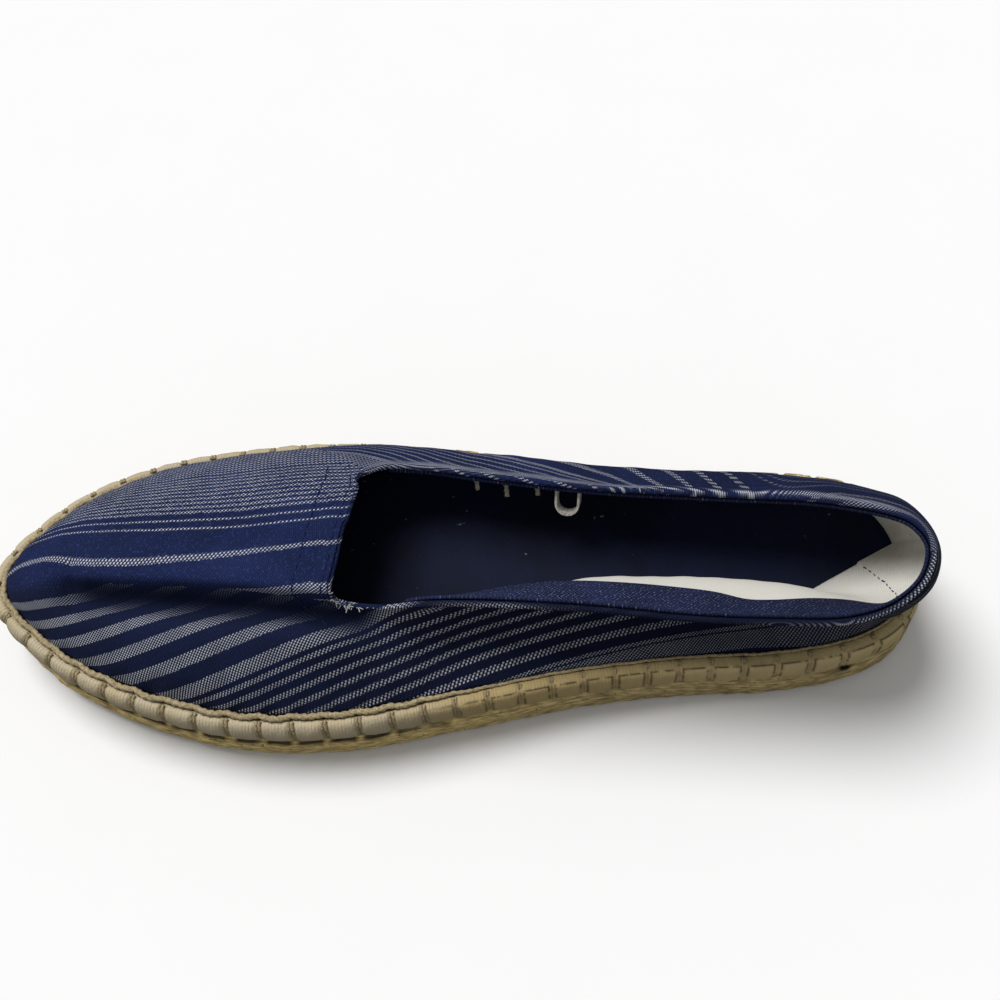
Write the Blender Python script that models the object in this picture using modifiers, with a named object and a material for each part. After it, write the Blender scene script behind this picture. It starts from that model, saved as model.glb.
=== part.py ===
"""Espadrille, left shoe: jute sole, rolled rand, whole-cut canvas upper, topline tape, insole and pair loop.

Metres, +Z up. The toe points to -X, the lateral side to -Y, and the shoe stands on Z = 0. The origin is under the
middle of the sole. Every section is worked out from the sizes below; the tables hold shares of those sizes.
"""

import math

import bmesh
import bpy
import numpy as np

# Last and sole
LAST_LENGTH = 0.245
BALL_WIDTH = 0.078
HEEL_WIDTH = 0.050
SOLE_EDGE = 0.0050
SOLE_SIDE = 0.0112
SOLE_BED = 0.0180
SOLE_ROUNDING = 0.0024
TOE_SPRING = 0.0030
SPRING_LENGTH = 0.070

# Clearance between pieces that meet
CLEARANCE = 0.0003

# Rand
ROLL_HEIGHT = 0.0092
STITCH_PITCH = 0.0085
STITCH_PINCH = 0.0011

# Upper
UPPER_WALL = 0.0016
COLLAR_RISE = 0.030
FOLD_DEPTH = 0.0050
FOLD_LIP = 0.0018
FOLD_OVERHANG = 0.0030
FOLD_SPREAD = 0.0042
HEM_STEP = 0.0005

# Trim inside the upper
TAPE_WIDTH = 0.012
TAPE_THICKNESS = 0.0008
TAPE_CLEARANCE = 0.0005
INSOLE_THICKNESS = 0.0020
LOOP_LENGTH = 0.0070
LOOP_WIDTH = 0.0066
LOOP_TAPE = 0.0036
LOOP_THICKNESS = 0.0006

# Fineness of the lofts
OUTLINE_STEPS = 72
UPPER_COLUMNS = 100
ROLL_SIDES = 8
ROLL_STEPS_PER_STITCH = 3

# Outline of the last. "turn" goes from 0 at the toe to 1 at the heel; along the length it stands for
# (1 - cos(pi * turn)) / 2. The half breadth is ball * BALL_WIDTH + heel * HEEL_WIDTH, and swing * BALL_WIDTH moves
# the middle of the section towards the medial side.
LAST_OUTLINE = np.array([
    # turn, ball, heel, swing
    (0.000, 0.000, 0.000, 0.024),
    (0.115, 0.170, 0.000, 0.033),
    (0.190, 0.308, 0.000, 0.036),
    (0.265, 0.417, 0.000, 0.027),
    (0.350, 0.490, 0.000, 0.006),
    (0.420, 0.498, 0.000, 0.001),
    (0.500, 0.440, 0.008, 0.002),
    (0.580, 0.280, 0.150, -0.006),
    (0.660, 0.100, 0.362, -0.022),
    (0.740, 0.000, 0.498, -0.033),
    (0.820, 0.000, 0.446, -0.035),
    (0.900, 0.000, 0.322, -0.033),
    (1.000, 0.000, 0.000, -0.029),
])

# Walls of the upper, from the feather line at "turn" (positive on the lateral side) to the free edge. The edge lies
# at along * LAST_LENGTH from the toe, across * BALL_WIDTH from the middle and rise * COLLAR_RISE above the feather
# line. "fullness" rounds the wall over the last: 1 is straight, 2 a quarter ellipse. "belly" * COLLAR_RISE pushes
# the middle of the wall out, or in where it is negative.
WALL_SECTIONS = np.array([
    # turn, along, across, rise, fullness, belly
    (-0.93, 0.984, -0.115, 1.10, 1.00, 0.15),
    (-0.86, 0.957, -0.050, 1.05, 1.00, 0.14),
    (-0.78, 0.886, 0.022, 0.98, 1.00, 0.15),
    (-0.70, 0.792, 0.068, 0.92, 1.00, 0.17),
    (-0.60, 0.653, 0.138, 0.84, 1.00, 0.18),
    (-0.52, 0.547, 0.212, 0.79, 1.00, 0.16),
    (-0.45, 0.473, 0.262, 0.77, 1.10, 0.12),
    (-0.40, 0.433, 0.258, 0.82, 1.25, 0.08),
    (-0.36, 0.412, 0.218, 0.88, 1.40, 0.04),
    (-0.28, 0.410, 0.158, 0.94, 1.52, 0.00),
    (-0.18, 0.406, 0.100, 0.98, 1.58, 0.00),
    (-0.08, 0.400, 0.030, 0.98, 1.62, 0.00),
    (0.00, 0.394, -0.030, 0.97, 1.65, 0.00),
    (0.05, 0.386, -0.185, 0.94, 1.70, 0.00),
    (0.12, 0.388, -0.222, 0.86, 1.65, 0.00),
    (0.25, 0.396, -0.236, 0.83, 1.55, 0.00),
    (0.36, 0.412, -0.250, 0.84, 1.35, 0.00),
    (0.45, 0.457, -0.278, 0.89, 1.15, -0.12),
    (0.52, 0.531, -0.300, 0.92, 1.00, -0.32),
    (0.60, 0.645, -0.335, 0.90, 1.00, -0.48),
    (0.67, 0.747, -0.380, 0.87, 1.00, -0.50),
    (0.74, 0.833, -0.408, 0.88, 1.00, -0.42),
    (0.81, 0.900, -0.425, 0.93, 1.00, -0.24),
    (0.88, 0.948, -0.392, 1.00, 1.00, 0.00),
    (0.94, 0.980, -0.316, 1.06, 1.00, 0.12),
    (1.00, 0.994, -0.213, 1.10, 1.00, 0.15),
])

# The long fold of the vamp: its ridge runs from near the toe to the outer corner of the throat.
FOLD_START = (0.045, -0.030)
FOLD_END = (0.390, -0.232)

# Rows of the vamp from the feather line (0) to the throat (1); the close pair near the end is the edge of the hem.
VAMP_ROWS = (0.0, 0.06, 0.13, 0.21, 0.30, 0.39, 0.48, 0.57, 0.66, 0.75, 0.83, 0.90, 0.945, 0.965, 1.0)
HEM_ROW = 13

# Side of the jute sole: share of SOLE_SIDE up, and how far inside SOLE_EDGE in shares of SOLE_ROUNDING.
SOLE_PROFILE = (
    # height, inset
    (0.00, 1.00),
    (0.16, 0.22),
    (0.45, 0.00),
    (0.82, 0.12),
    (1.00, 0.60),
)

# Turns where the tape ends, near the two corners of the throat, and where the pair loop is sewn in
TAPE_LATERAL_END = 0.47
TAPE_MEDIAL_END = -0.42
TAPE_ROWS = (0.05, 0.28, 0.52, 0.76, 1.0)
LOOP_TURN = -0.585


def smooth_column(table, column, at):
    """Cubic curve through one column of a table whose first column holds the knots."""
    knots = table[:, 0]
    values = table[:, column]
    slopes = np.gradient(values, knots)
    at = np.clip(at, knots[0], knots[-1])
    span = np.clip(np.searchsorted(knots, at, side="right") - 1, 0, len(knots) - 2)
    width = knots[span + 1] - knots[span]
    u = (at - knots[span]) / width
    start = values[span] * (1 + 2 * u) * (1 - u) ** 2 + slopes[span] * width * u * (1 - u) ** 2
    end = values[span + 1] * (3 - 2 * u) * u**2 + slopes[span + 1] * width * (u - 1) * u**2
    return start + end


def mirrored_outline():
    """Outline table carried on past the toe and the heel, so that both ends come out round."""
    before = LAST_OUTLINE[2:0:-1] * (-1, -1, -1, 1)
    after = LAST_OUTLINE[-2:-4:-1] * (-1, -1, -1, 1) + (2, 0, 0, 0)
    return np.vstack((before, LAST_OUTLINE, after))


def wrapped_sections():
    """Wall table carried on past the heel on both sides, so that the walls join there."""
    full_turn = (2, 0, 0, 0, 0, 0)
    return np.vstack((WALL_SECTIONS[-3:] - full_turn, WALL_SECTIONS, WALL_SECTIONS[:3] + full_turn))


OUTLINE = mirrored_outline()
SECTIONS = wrapped_sections()


def smooth_step(value):
    value = np.clip(value, 0.0, 1.0)
    return value * value * (3 - 2 * value)


def last_point(turn):
    """Plan of the feather line, as X from the toe and Y from the axis of the last."""
    size = np.abs(turn)
    along = LAST_LENGTH * (1 - np.cos(math.pi * size)) / 2
    ball = smooth_column(OUTLINE, 1, size) * BALL_WIDTH
    heel = smooth_column(OUTLINE, 2, size) * HEEL_WIDTH
    middle = smooth_column(OUTLINE, 3, size) * BALL_WIDTH
    return np.stack((along, middle - np.sign(turn) * (ball + heel)), axis=-1)


def outward(turn):
    """Unit vectors square to the feather line, pointing away from the foot."""
    step = 0.004
    towards = wrap_turn(turn + step)
    away = wrap_turn(turn - step)
    run = last_point(towards) - last_point(away)
    normal = np.stack((run[..., 1], -run[..., 0]), axis=-1)
    return normal / np.linalg.norm(normal, axis=-1, keepdims=True)


def wrap_turn(turn):
    return (turn + 1) % 2 - 1


def middle_of_breadth():
    edge = last_point(np.linspace(-1, 1, 721)) + SOLE_EDGE * outward(np.linspace(-1, 1, 721))
    return (edge[:, 1].max() + edge[:, 1].min()) / 2


BREADTH_MIDDLE = middle_of_breadth()


def spring(x):
    """Height that the toe spring adds at X from the toe."""
    return TOE_SPRING * np.clip(1 - x / SPRING_LENGTH, 0, None) ** 2


def place(plan, height):
    """World points for plan points on the last at a height over the unsprung sole."""
    x = plan[..., 0]
    return np.stack((x - LAST_LENGTH / 2, plan[..., 1] - BREADTH_MIDDLE, height + spring(x)), axis=-1)


def ring(turns, offset, height):
    return place(last_point(turns) + offset * outward(turns), np.full(len(turns), height))


FEATHER_HEIGHT = SOLE_SIDE + ROLL_HEIGHT + 2 * CLEARANCE
LINING_OFFSET = -UPPER_WALL


def fold_shift(plan):
    """Rise and sideways slide of the vamp's long fold at plan points: a lip, and a trough on its lateral side."""
    start = np.array((FOLD_START[0] * LAST_LENGTH, FOLD_START[1] * BALL_WIDTH))
    end = np.array((FOLD_END[0] * LAST_LENGTH, FOLD_END[1] * BALL_WIDTH))
    run = end - start
    length = np.linalg.norm(run)
    run /= length
    across = np.array((-run[1], run[0]))
    reach = (plan - start) @ run / length
    side = (plan - start) @ across / FOLD_SPREAD
    strength = smooth_step(reach / 0.22) * (1 - smooth_step((reach - 1.02) / 0.20))
    lip = np.exp(-((side - 0.8) ** 2))
    trough = np.exp(-((side + 0.9) ** 2))
    rise = strength * (FOLD_LIP * lip - FOLD_DEPTH * trough)
    slide = strength * (0.35 * trough - lip) * FOLD_OVERHANG
    return rise, slide[..., None] * across


def wall_rows(fullness):
    """Rows of a wall as angles: even ones on a straight quarter, and those of the vamp on a full section."""
    even = np.arcsin(np.sqrt(np.linspace(0, 1, len(VAMP_ROWS))))
    full = np.array(VAMP_ROWS) * math.pi / 2
    share = smooth_step((fullness - 1) / 0.45)
    return even[:, None] * (1 - share) + full[:, None] * share


def upper_surface(turns):
    """Outer face of the upper as rows of points, from its foot in the sole to its free edge."""
    along, across, rise, fullness, belly = (smooth_column(SECTIONS, n, turns) for n in range(1, 6))
    fullness = np.clip(fullness, 1.0, None)
    foot = last_point(turns)
    edge = np.stack((along * LAST_LENGTH, across * BALL_WIDTH), axis=-1)
    angle = wall_rows(fullness)
    inward = 1 - np.abs(np.cos(angle)) ** (2 / fullness)
    upward = np.sin(angle) ** (2 / fullness)
    bulge = belly * COLLAR_RISE * np.sin(math.pi * inward)
    plan = foot + inward[..., None] * (edge - foot) + bulge[..., None] * outward(turns)
    height = FEATHER_HEIGHT + upward * rise * COLLAR_RISE
    lift, slide = fold_shift(plan)
    settled = smooth_step(upward / 0.5)
    height = height + lift * settled
    plan = plan + slide * settled[..., None]
    hem = np.zeros_like(height)
    hem[HEM_ROW:] = HEM_STEP * smooth_step((fullness - 1.3) / 0.2)
    points = place(plan, height + hem)
    skirt = ring(turns, 0.0, SOLE_SIDE + CLEARANCE)
    return np.concatenate((skirt[None], points))


def surface_normals(points, closed=True):
    """Unit normals of a band of points, by row and column, as its mesh has them."""
    mesh = open_surface("band", points, closed)
    normals = np.empty(points.size)
    mesh.vertex_normals.foreach_get("vector", normals)
    bpy.data.meshes.remove(mesh)
    return normals.reshape(points.shape)


def new_material(name, colour, roughness, metallic=0.0):
    material = bpy.data.materials.new(name)
    material.use_nodes = True
    shader = material.node_tree.nodes["Principled BSDF"]
    shader.inputs["Base Color"].default_value = (*colour, 1.0)
    shader.inputs["Roughness"].default_value = roughness
    shader.inputs["Metallic"].default_value = metallic
    material.diffuse_color = (*colour, 1.0)
    return material


def new_object(name, mesh, material):
    mesh.materials.append(material)
    piece = bpy.data.objects.new(name, mesh)
    bpy.data.collections["espadrille"].objects.link(piece)
    return piece


def mesh_from_faces(name, points, faces, smooth_angle=50):
    """Mesh from points and faces, with merged doubles and its faces turned outwards."""
    mesh = bpy.data.meshes.new(name)
    mesh.from_pydata([tuple(p) for p in points], [], faces)
    shape = bmesh.new()
    shape.from_mesh(mesh)
    bmesh.ops.remove_doubles(shape, verts=shape.verts, dist=1e-6)
    bmesh.ops.recalc_face_normals(shape, faces=shape.faces)
    shape.to_mesh(mesh)
    shape.free()
    mesh.shade_smooth()
    mesh.set_sharp_from_angle(angle=math.radians(smooth_angle))
    return mesh


def band_faces(rows, columns, closed_columns=True, closed_rows=False, start=0):
    """Quads of a grid of points numbered row by row from start."""
    faces = []
    for row in range(rows if closed_rows else rows - 1):
        for column in range(columns if closed_columns else columns - 1):
            next_row = (row + 1) % rows
            next_column = (column + 1) % columns
            corners = ((row, column), (row, next_column), (next_row, next_column), (next_row, column))
            faces.append([start + r * columns + c for r, c in corners])
    return faces


def ladder_faces(steps, start):
    """Strips across the last that close a ring of points, from the toe to the heel."""
    half = steps // 2
    faces = []
    for step in range(half):
        near, far = half + step, half - step
        corners = (near, (near + 1) % steps, (far - 1) % steps, far)
        faces.append([start + c for c in dict.fromkeys(corners)])
    return faces


def even_turns(steps):
    """Turns round the whole last, with number steps / 2 at the toe and number 0 at the heel."""
    return np.arange(steps) * 2 / steps - 1


def stacked_rings(name, rings, smooth_angle=50):
    """Solid between rings of points, closed by strips across the first and the last."""
    steps = len(rings[0])
    faces = band_faces(len(rings), steps)
    faces += ladder_faces(steps, 0)
    faces += ladder_faces(steps, (len(rings) - 1) * steps)
    return mesh_from_faces(name, np.concatenate(rings), faces, smooth_angle)


def build_sole():
    turns = even_turns(OUTLINE_STEPS)
    riser = LINING_OFFSET - CLEARANCE
    rings = [
        ring(turns, SOLE_EDGE - inset * SOLE_ROUNDING, height * SOLE_SIDE) for height, inset in SOLE_PROFILE
    ]
    rings.append(ring(turns, riser, SOLE_SIDE))
    rings.append(ring(turns, riser, SOLE_BED))
    mesh = stacked_rings("sole", rings)
    return new_object("sole", mesh, new_material("jute", (0.42, 0.33, 0.19), 0.9))


def build_rand_roll():
    """Rolled rand: an upright oval run round the shelf, drawn in where each blanket stitch crosses it."""
    dense = np.linspace(-1, 1, 1441)
    path = last_point(dense)
    lengths = np.concatenate(((0,), np.cumsum(np.linalg.norm(np.diff(path, axis=0), axis=1))))
    stitches = round(lengths[-1] / STITCH_PITCH)
    steps = stitches * ROLL_STEPS_PER_STITCH
    turns = np.interp(np.arange(steps) * lengths[-1] / steps, lengths, dense)
    pinch = np.where(np.arange(steps) % ROLL_STEPS_PER_STITCH == 0, STITCH_PINCH, 0.0)
    width = SOLE_EDGE - CLEARANCE
    sections = []
    for side in range(ROLL_SIDES):
        angle = 2 * math.pi * side / ROLL_SIDES
        outer = CLEARANCE + (width - pinch) * (1 - math.cos(angle)) / 2
        height = SOLE_SIDE + CLEARANCE + (ROLL_HEIGHT - pinch) * (1 + math.sin(angle)) / 2
        sections.append(place(last_point(turns) + outer[:, None] * outward(turns), height))
    faces = band_faces(ROLL_SIDES, steps, closed_rows=True)
    mesh = mesh_from_faces("rand_roll", np.concatenate(sections), faces, smooth_angle=70)
    return new_object("rand_roll", mesh, new_material("rand_cotton", (0.62, 0.52, 0.37), 0.85))


def thicken(piece, thickness):
    """Give an open surface its wall, on the side away from its normals."""
    wall = piece.modifiers.new("wall", "SOLIDIFY")
    wall.thickness = thickness
    wall.offset = -1.0
    wall.use_rim = True


def open_surface(name, points, closed, smooth_angle=60):
    rows, columns = points.shape[:2]
    mesh = bpy.data.meshes.new(name)
    faces = band_faces(rows, columns, closed_columns=closed)
    mesh.from_pydata([tuple(p) for p in points.reshape(-1, 3)], [], faces)
    mesh.update()
    mesh.shade_smooth()
    mesh.set_sharp_from_angle(angle=math.radians(smooth_angle))
    return mesh


def build_upper():
    mesh = open_surface("upper", upper_surface(even_turns(UPPER_COLUMNS)), closed=True)
    piece = new_object("upper", mesh, new_material("canvas", (0.03, 0.045, 0.16), 0.85))
    thicken(piece, UPPER_WALL)
    return piece


def tape_surface(turns):
    """Outer face of the tape: the upper's own inner face, a clearance further in, down from the edge."""
    points = upper_surface(turns)
    inner = points - surface_normals(points) * (UPPER_WALL + TAPE_CLEARANCE)
    depth = np.linalg.norm(np.diff(inner, axis=0), axis=-1)[::-1].cumsum(axis=0)
    depth = np.concatenate((np.zeros((1, len(turns))), depth))
    inner = inner[::-1]
    rows = []
    for share in TAPE_ROWS:
        wanted = share * TAPE_WIDTH
        row = [
            [np.interp(wanted, depth[:, c], inner[:, c, axis]) for axis in range(3)] for c in range(len(turns))
        ]
        rows.append(row)
    return np.array(rows)


def build_topline_tape():
    turns = even_turns(UPPER_COLUMNS)
    rows = tape_surface(turns)
    lateral_end = int(np.searchsorted(turns, TAPE_LATERAL_END))
    medial_end = int(np.searchsorted(turns, TAPE_MEDIAL_END))
    columns = list(range(lateral_end, len(turns))) + list(range(0, medial_end + 1))
    mesh = open_surface("topline_tape", rows[::-1][:, columns], closed=False)
    piece = new_object("topline_tape", mesh, new_material("navy_tape", (0.02, 0.03, 0.13), 0.8))
    thicken(piece, TAPE_THICKNESS)
    return piece


def build_insole():
    turns = even_turns(OUTLINE_STEPS)
    edge = LINING_OFFSET - CLEARANCE
    base = SOLE_BED + CLEARANCE
    mesh = stacked_rings("insole", [ring(turns, edge, base), ring(turns, edge, base + INSOLE_THICKNESS)])
    return new_object("insole", mesh, new_material("insole_cloth", (0.015, 0.03, 0.14), 0.8))


def build_pair_loop():
    """Bight of flat cotton tape that stands in from the collar and droops a little."""
    turns = even_turns(UPPER_COLUMNS)
    column = int(np.argmin(np.abs(turns - LOOP_TURN)))
    rows = tape_surface(turns)
    inward = -surface_normals(rows[::-1])[2, column]
    along = rows[1, column + 1] - rows[1, column - 1]
    along /= np.linalg.norm(along)
    sideways = np.cross(inward, along)
    sideways /= np.linalg.norm(sideways)
    root = rows[1, column] + inward * (TAPE_THICKNESS + 2 * CLEARANCE)
    radius = LOOP_WIDTH / 2
    bend = np.linspace(-math.pi / 2, math.pi / 2, 9)
    path = [(-radius, 0.0)]
    path += [(radius * math.sin(angle), LOOP_LENGTH - radius + radius * math.cos(angle)) for angle in bend]
    path += [(radius, 0.0)]
    edges = []
    for edge in (-0.5, 0.5):
        edges.append([root + along * a + inward * b + sideways * edge * LOOP_TAPE for a, b in path])
    mesh = open_surface("pair_loop", np.array(edges), closed=False)
    piece = new_object("pair_loop", mesh, new_material("white_cotton", (0.75, 0.74, 0.70), 0.9))
    thicken(piece, LOOP_THICKNESS)
    return piece


def main():
    for old in list(bpy.data.objects):
        bpy.data.objects.remove(old)
    collection = bpy.data.collections.new("espadrille")
    bpy.context.scene.collection.children.link(collection)
    build_sole()
    build_rand_roll()
    build_upper()
    build_topline_tape()
    build_insole()
    build_pair_loop()


main()
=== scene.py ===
"""Looks of the left espadrille: striped canvas, lining, tape, stitched rand, jute sole and the stage."""
import math

import bpy
import numpy as np
from bpy.props import FloatProperty, FloatVectorProperty, IntProperty, PointerProperty
from mathutils import Matrix, Vector


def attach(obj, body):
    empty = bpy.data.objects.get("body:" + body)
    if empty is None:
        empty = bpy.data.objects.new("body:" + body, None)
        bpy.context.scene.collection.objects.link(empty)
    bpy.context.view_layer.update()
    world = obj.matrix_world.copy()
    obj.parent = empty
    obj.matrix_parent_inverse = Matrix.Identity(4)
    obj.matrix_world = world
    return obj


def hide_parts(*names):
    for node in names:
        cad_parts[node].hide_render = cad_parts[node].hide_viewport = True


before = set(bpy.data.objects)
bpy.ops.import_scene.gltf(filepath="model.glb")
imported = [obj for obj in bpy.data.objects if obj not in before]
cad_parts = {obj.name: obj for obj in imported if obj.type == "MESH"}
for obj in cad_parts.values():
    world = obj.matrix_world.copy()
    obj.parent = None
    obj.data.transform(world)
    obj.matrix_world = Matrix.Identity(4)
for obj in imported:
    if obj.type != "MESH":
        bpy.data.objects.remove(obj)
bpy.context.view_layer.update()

bl_info = {
    "name": "Espadrille",
    "version": (1, 0, 0),
    "blender": (4, 5, 0),
    "location": "View3D > Sidebar > Espadrille",
    "description": "Builds the canvas, trim, rand and sole of a worn slip-on espadrille",
    "category": "Object",
}

BODY = "root"

# Sizes of the solids, in metres, as the part's source has them
LAST_LENGTH = 0.245
BALL_WIDTH = 0.078
HEEL_WIDTH = 0.050
SOLE_EDGE = 0.0050
SOLE_SIDE = 0.0112
SOLE_BED = 0.0180
SOLE_ROUNDING = 0.0024
TOE_SPRING = 0.0030
SPRING_LENGTH = 0.070
CLEARANCE = 0.0003
ROLL_HEIGHT = 0.0092
STITCH_PITCH = 0.0085
UPPER_WALL = 0.0016
COLLAR_RISE = 0.030
FOLD_DEPTH = 0.0050
FOLD_LIP = 0.0018
FOLD_OVERHANG = 0.0030
FOLD_SPREAD = 0.0042
HEM_STEP = 0.0005
FEATHER_HEIGHT = SOLE_SIDE + ROLL_HEIGHT + 2 * CLEARANCE

# Outline of the last from turn 0 at the toe to 1 at the heel: shares of half the breadth, and how far the
# middle swings out
LAST_OUTLINE = np.array([
    # turn, ball, heel, swing
    (0.000, 0.000, 0.000, 0.024),
    (0.115, 0.170, 0.000, 0.033),
    (0.190, 0.308, 0.000, 0.036),
    (0.265, 0.417, 0.000, 0.027),
    (0.350, 0.490, 0.000, 0.006),
    (0.420, 0.498, 0.000, 0.001),
    (0.500, 0.440, 0.008, 0.002),
    (0.580, 0.280, 0.150, -0.006),
    (0.660, 0.100, 0.362, -0.022),
    (0.740, 0.000, 0.498, -0.033),
    (0.820, 0.000, 0.446, -0.035),
    (0.900, 0.000, 0.322, -0.033),
    (1.000, 0.000, 0.000, -0.029),
])

# Walls of the upper, from the feather line at "turn" (positive on the lateral side) to the free edge
WALL_SECTIONS = np.array([
    # turn, along, across, rise, fullness, belly
    (-0.93, 0.984, -0.115, 1.10, 1.00, 0.15),
    (-0.86, 0.957, -0.050, 1.05, 1.00, 0.14),
    (-0.78, 0.886, 0.022, 0.98, 1.00, 0.15),
    (-0.70, 0.792, 0.068, 0.92, 1.00, 0.17),
    (-0.60, 0.653, 0.138, 0.84, 1.00, 0.18),
    (-0.52, 0.547, 0.212, 0.79, 1.00, 0.16),
    (-0.45, 0.473, 0.262, 0.77, 1.10, 0.12),
    (-0.40, 0.433, 0.258, 0.82, 1.25, 0.08),
    (-0.36, 0.412, 0.218, 0.88, 1.40, 0.04),
    (-0.28, 0.410, 0.158, 0.94, 1.52, 0.00),
    (-0.18, 0.406, 0.100, 0.98, 1.58, 0.00),
    (-0.08, 0.400, 0.030, 0.98, 1.62, 0.00),
    (0.00, 0.394, -0.030, 0.97, 1.65, 0.00),
    (0.05, 0.386, -0.185, 0.94, 1.70, 0.00),
    (0.12, 0.388, -0.222, 0.86, 1.65, 0.00),
    (0.25, 0.396, -0.236, 0.83, 1.55, 0.00),
    (0.36, 0.412, -0.250, 0.84, 1.35, 0.00),
    (0.45, 0.457, -0.278, 0.89, 1.15, -0.12),
    (0.52, 0.531, -0.300, 0.92, 1.00, -0.32),
    (0.60, 0.645, -0.335, 0.90, 1.00, -0.48),
    (0.67, 0.747, -0.380, 0.87, 1.00, -0.50),
    (0.74, 0.833, -0.408, 0.88, 1.00, -0.42),
    (0.81, 0.900, -0.425, 0.93, 1.00, -0.24),
    (0.88, 0.948, -0.392, 1.00, 1.00, 0.00),
    (0.94, 0.980, -0.316, 1.06, 1.00, 0.12),
    (1.00, 0.994, -0.213, 1.10, 1.00, 0.15),
])

FOLD_START = (0.045, -0.030)
FOLD_END = (0.390, -0.232)
VAMP_ROWS = (0.0, 0.06, 0.13, 0.21, 0.30, 0.39, 0.48, 0.57, 0.66, 0.75, 0.83, 0.90, 0.945, 0.965, 1.0)
HEM_ROW = 13

# Depth of the hollows between the strands of a thread, as a share of its radius
LOBE_DEPTH = 0.22

# Share of the tape's width that shows at a turn; it curls under beside the loose lining
TAPE_WIDTHS = np.array([
    # turn, share
    (0.45, 1.00),
    (0.60, 1.00),
    (0.66, 0.94),
    (0.69, 0.82),
    (0.715, 0.60),
    (0.735, 0.62),
    (0.785, 0.90),
    (0.83, 1.06),
    (0.88, 1.08),
    (0.94, 1.00),
    (1.60, 1.00),
])

# Turns at which the tape starts and ends
TAPE_START = 0.455
TAPE_END = 1.585

# The lining's foot: how far it stands from the feather line, and the turns between which it has come loose and
# runs straight across the corner of the heel
LINING_FOOT = -UPPER_WALL - 0.0002
LOOSE_START = 0.68
LOOSE_END = 1.025

# Stripe runs in millimetres from the single stripe; the last column is how closely their yarns cover the navy,
# and in the run at the medial rear it is also painted shade
STRIPE_RUNS = (
    # first, pitch, count, width, cover and shade
    (10.0, 8.5, 6, 3.5, 1.0),
    (56.4, 3.05, 7, 1.0, 0.95),
    (78.8, 1.0, 1, 1.1, 0.8),
    (82.8, 1.0, 1, 5.4, 0.75),
    (-1.5, 1.0, 1, 1.1, 1.0),
    (-9.1, 1.0, 1, 0.4, 1.0),
    (-11.7, 1.0, 1, 0.4, 1.0),
    (-28.34, 1.56, 10, 0.62, 1.0),
    (-52.0, 1.56, 15, 0.66, 0.9),
    (-85.5, 4.3, 9, 0.9, 0.85),
    (-124.8, 7.2, 6, 1.5, 0.95),
    # Painted shade: the stripes of this run at the medial rear are half as strong.
    (-155.9, 3.9, 7, 0.9, 0.5),
)


def smooth_column(table, column, at):
    """Cubic curve through one column of a table whose first column holds the knots."""
    knots = table[:, 0]
    values = table[:, column]
    slopes = np.gradient(values, knots)
    at = np.clip(at, knots[0], knots[-1])
    cell = np.clip(np.searchsorted(knots, at, side="right") - 1, 0, len(knots) - 2)
    width = knots[cell + 1] - knots[cell]
    u = (at - knots[cell]) / width
    start = values[cell] * (1 + 2 * u) * (1 - u) ** 2 + slopes[cell] * width * u * (1 - u) ** 2
    end = values[cell + 1] * (3 - 2 * u) * u**2 + slopes[cell + 1] * width * (u - 1) * u**2
    return start + end


def mirrored_outline():
    """Outline table carried on past the toe and the heel, so that both ends come out round."""
    before = LAST_OUTLINE[2:0:-1] * (-1, -1, -1, 1)
    after = LAST_OUTLINE[-2:-4:-1] * (-1, -1, -1, 1) + (2, 0, 0, 0)
    return np.vstack((before, LAST_OUTLINE, after))


def wrapped_sections():
    """Wall table carried on past the heel on both sides, so that the walls join there."""
    full_turn = (2, 0, 0, 0, 0, 0)
    return np.vstack((WALL_SECTIONS[-3:] - full_turn, WALL_SECTIONS, WALL_SECTIONS[:3] + full_turn))


OUTLINE = mirrored_outline()
SECTIONS = wrapped_sections()


def smooth_step(value):
    value = np.clip(value, 0.0, 1.0)
    return value * value * (3 - 2 * value)


def hump(value, middle, spread):
    """Soft bump of height 1 at the middle."""
    return np.exp(-(((value - middle) / spread) ** 2))


def span(value, low, fade_in, high, fade_out):
    """1 between low and high, with soft ends."""
    return smooth_step((value - low) / fade_in) * (1 - smooth_step((value - high) / fade_out))


def unit(vectors):
    return vectors / np.maximum(np.linalg.norm(vectors, axis=-1, keepdims=True), 1e-12)


def running_lengths(path):
    """Distance of each point of a path from its first one."""
    return np.concatenate(((0,), np.linalg.norm(np.diff(path, axis=0), axis=1).cumsum()))


def points_at(places, lengths, path):
    """Points at places along a path whose points lie at lengths."""
    return np.stack([np.interp(places, lengths, path[:, axis]) for axis in range(3)], axis=-1)


def wrap_turn(turn):
    return (turn + 1) % 2 - 1


def last_point(turn):
    """Plan of the feather line, as X from the toe and Y from the axis of the last."""
    size = np.abs(turn)
    along = LAST_LENGTH * (1 - np.cos(math.pi * size)) / 2
    ball = smooth_column(OUTLINE, 1, size) * BALL_WIDTH
    heel = smooth_column(OUTLINE, 2, size) * HEEL_WIDTH
    middle = smooth_column(OUTLINE, 3, size) * BALL_WIDTH
    return np.stack((along, middle - np.sign(turn) * (ball + heel)), axis=-1)


def outward(turn):
    """Unit vectors square to the feather line, pointing away from the foot."""
    step = 0.004
    run = last_point(wrap_turn(turn + step)) - last_point(wrap_turn(turn - step))
    return unit(np.stack((run[..., 1], -run[..., 0]), axis=-1))


def middle_of_breadth():
    turns = np.linspace(-1, 1, 721)
    edge = last_point(turns) + SOLE_EDGE * outward(turns)
    return (edge[:, 1].max() + edge[:, 1].min()) / 2


BREADTH_MIDDLE = middle_of_breadth()


def spring(x):
    """Height that the toe spring adds at X from the toe."""
    return TOE_SPRING * np.clip(1 - x / SPRING_LENGTH, 0, None) ** 2


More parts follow.
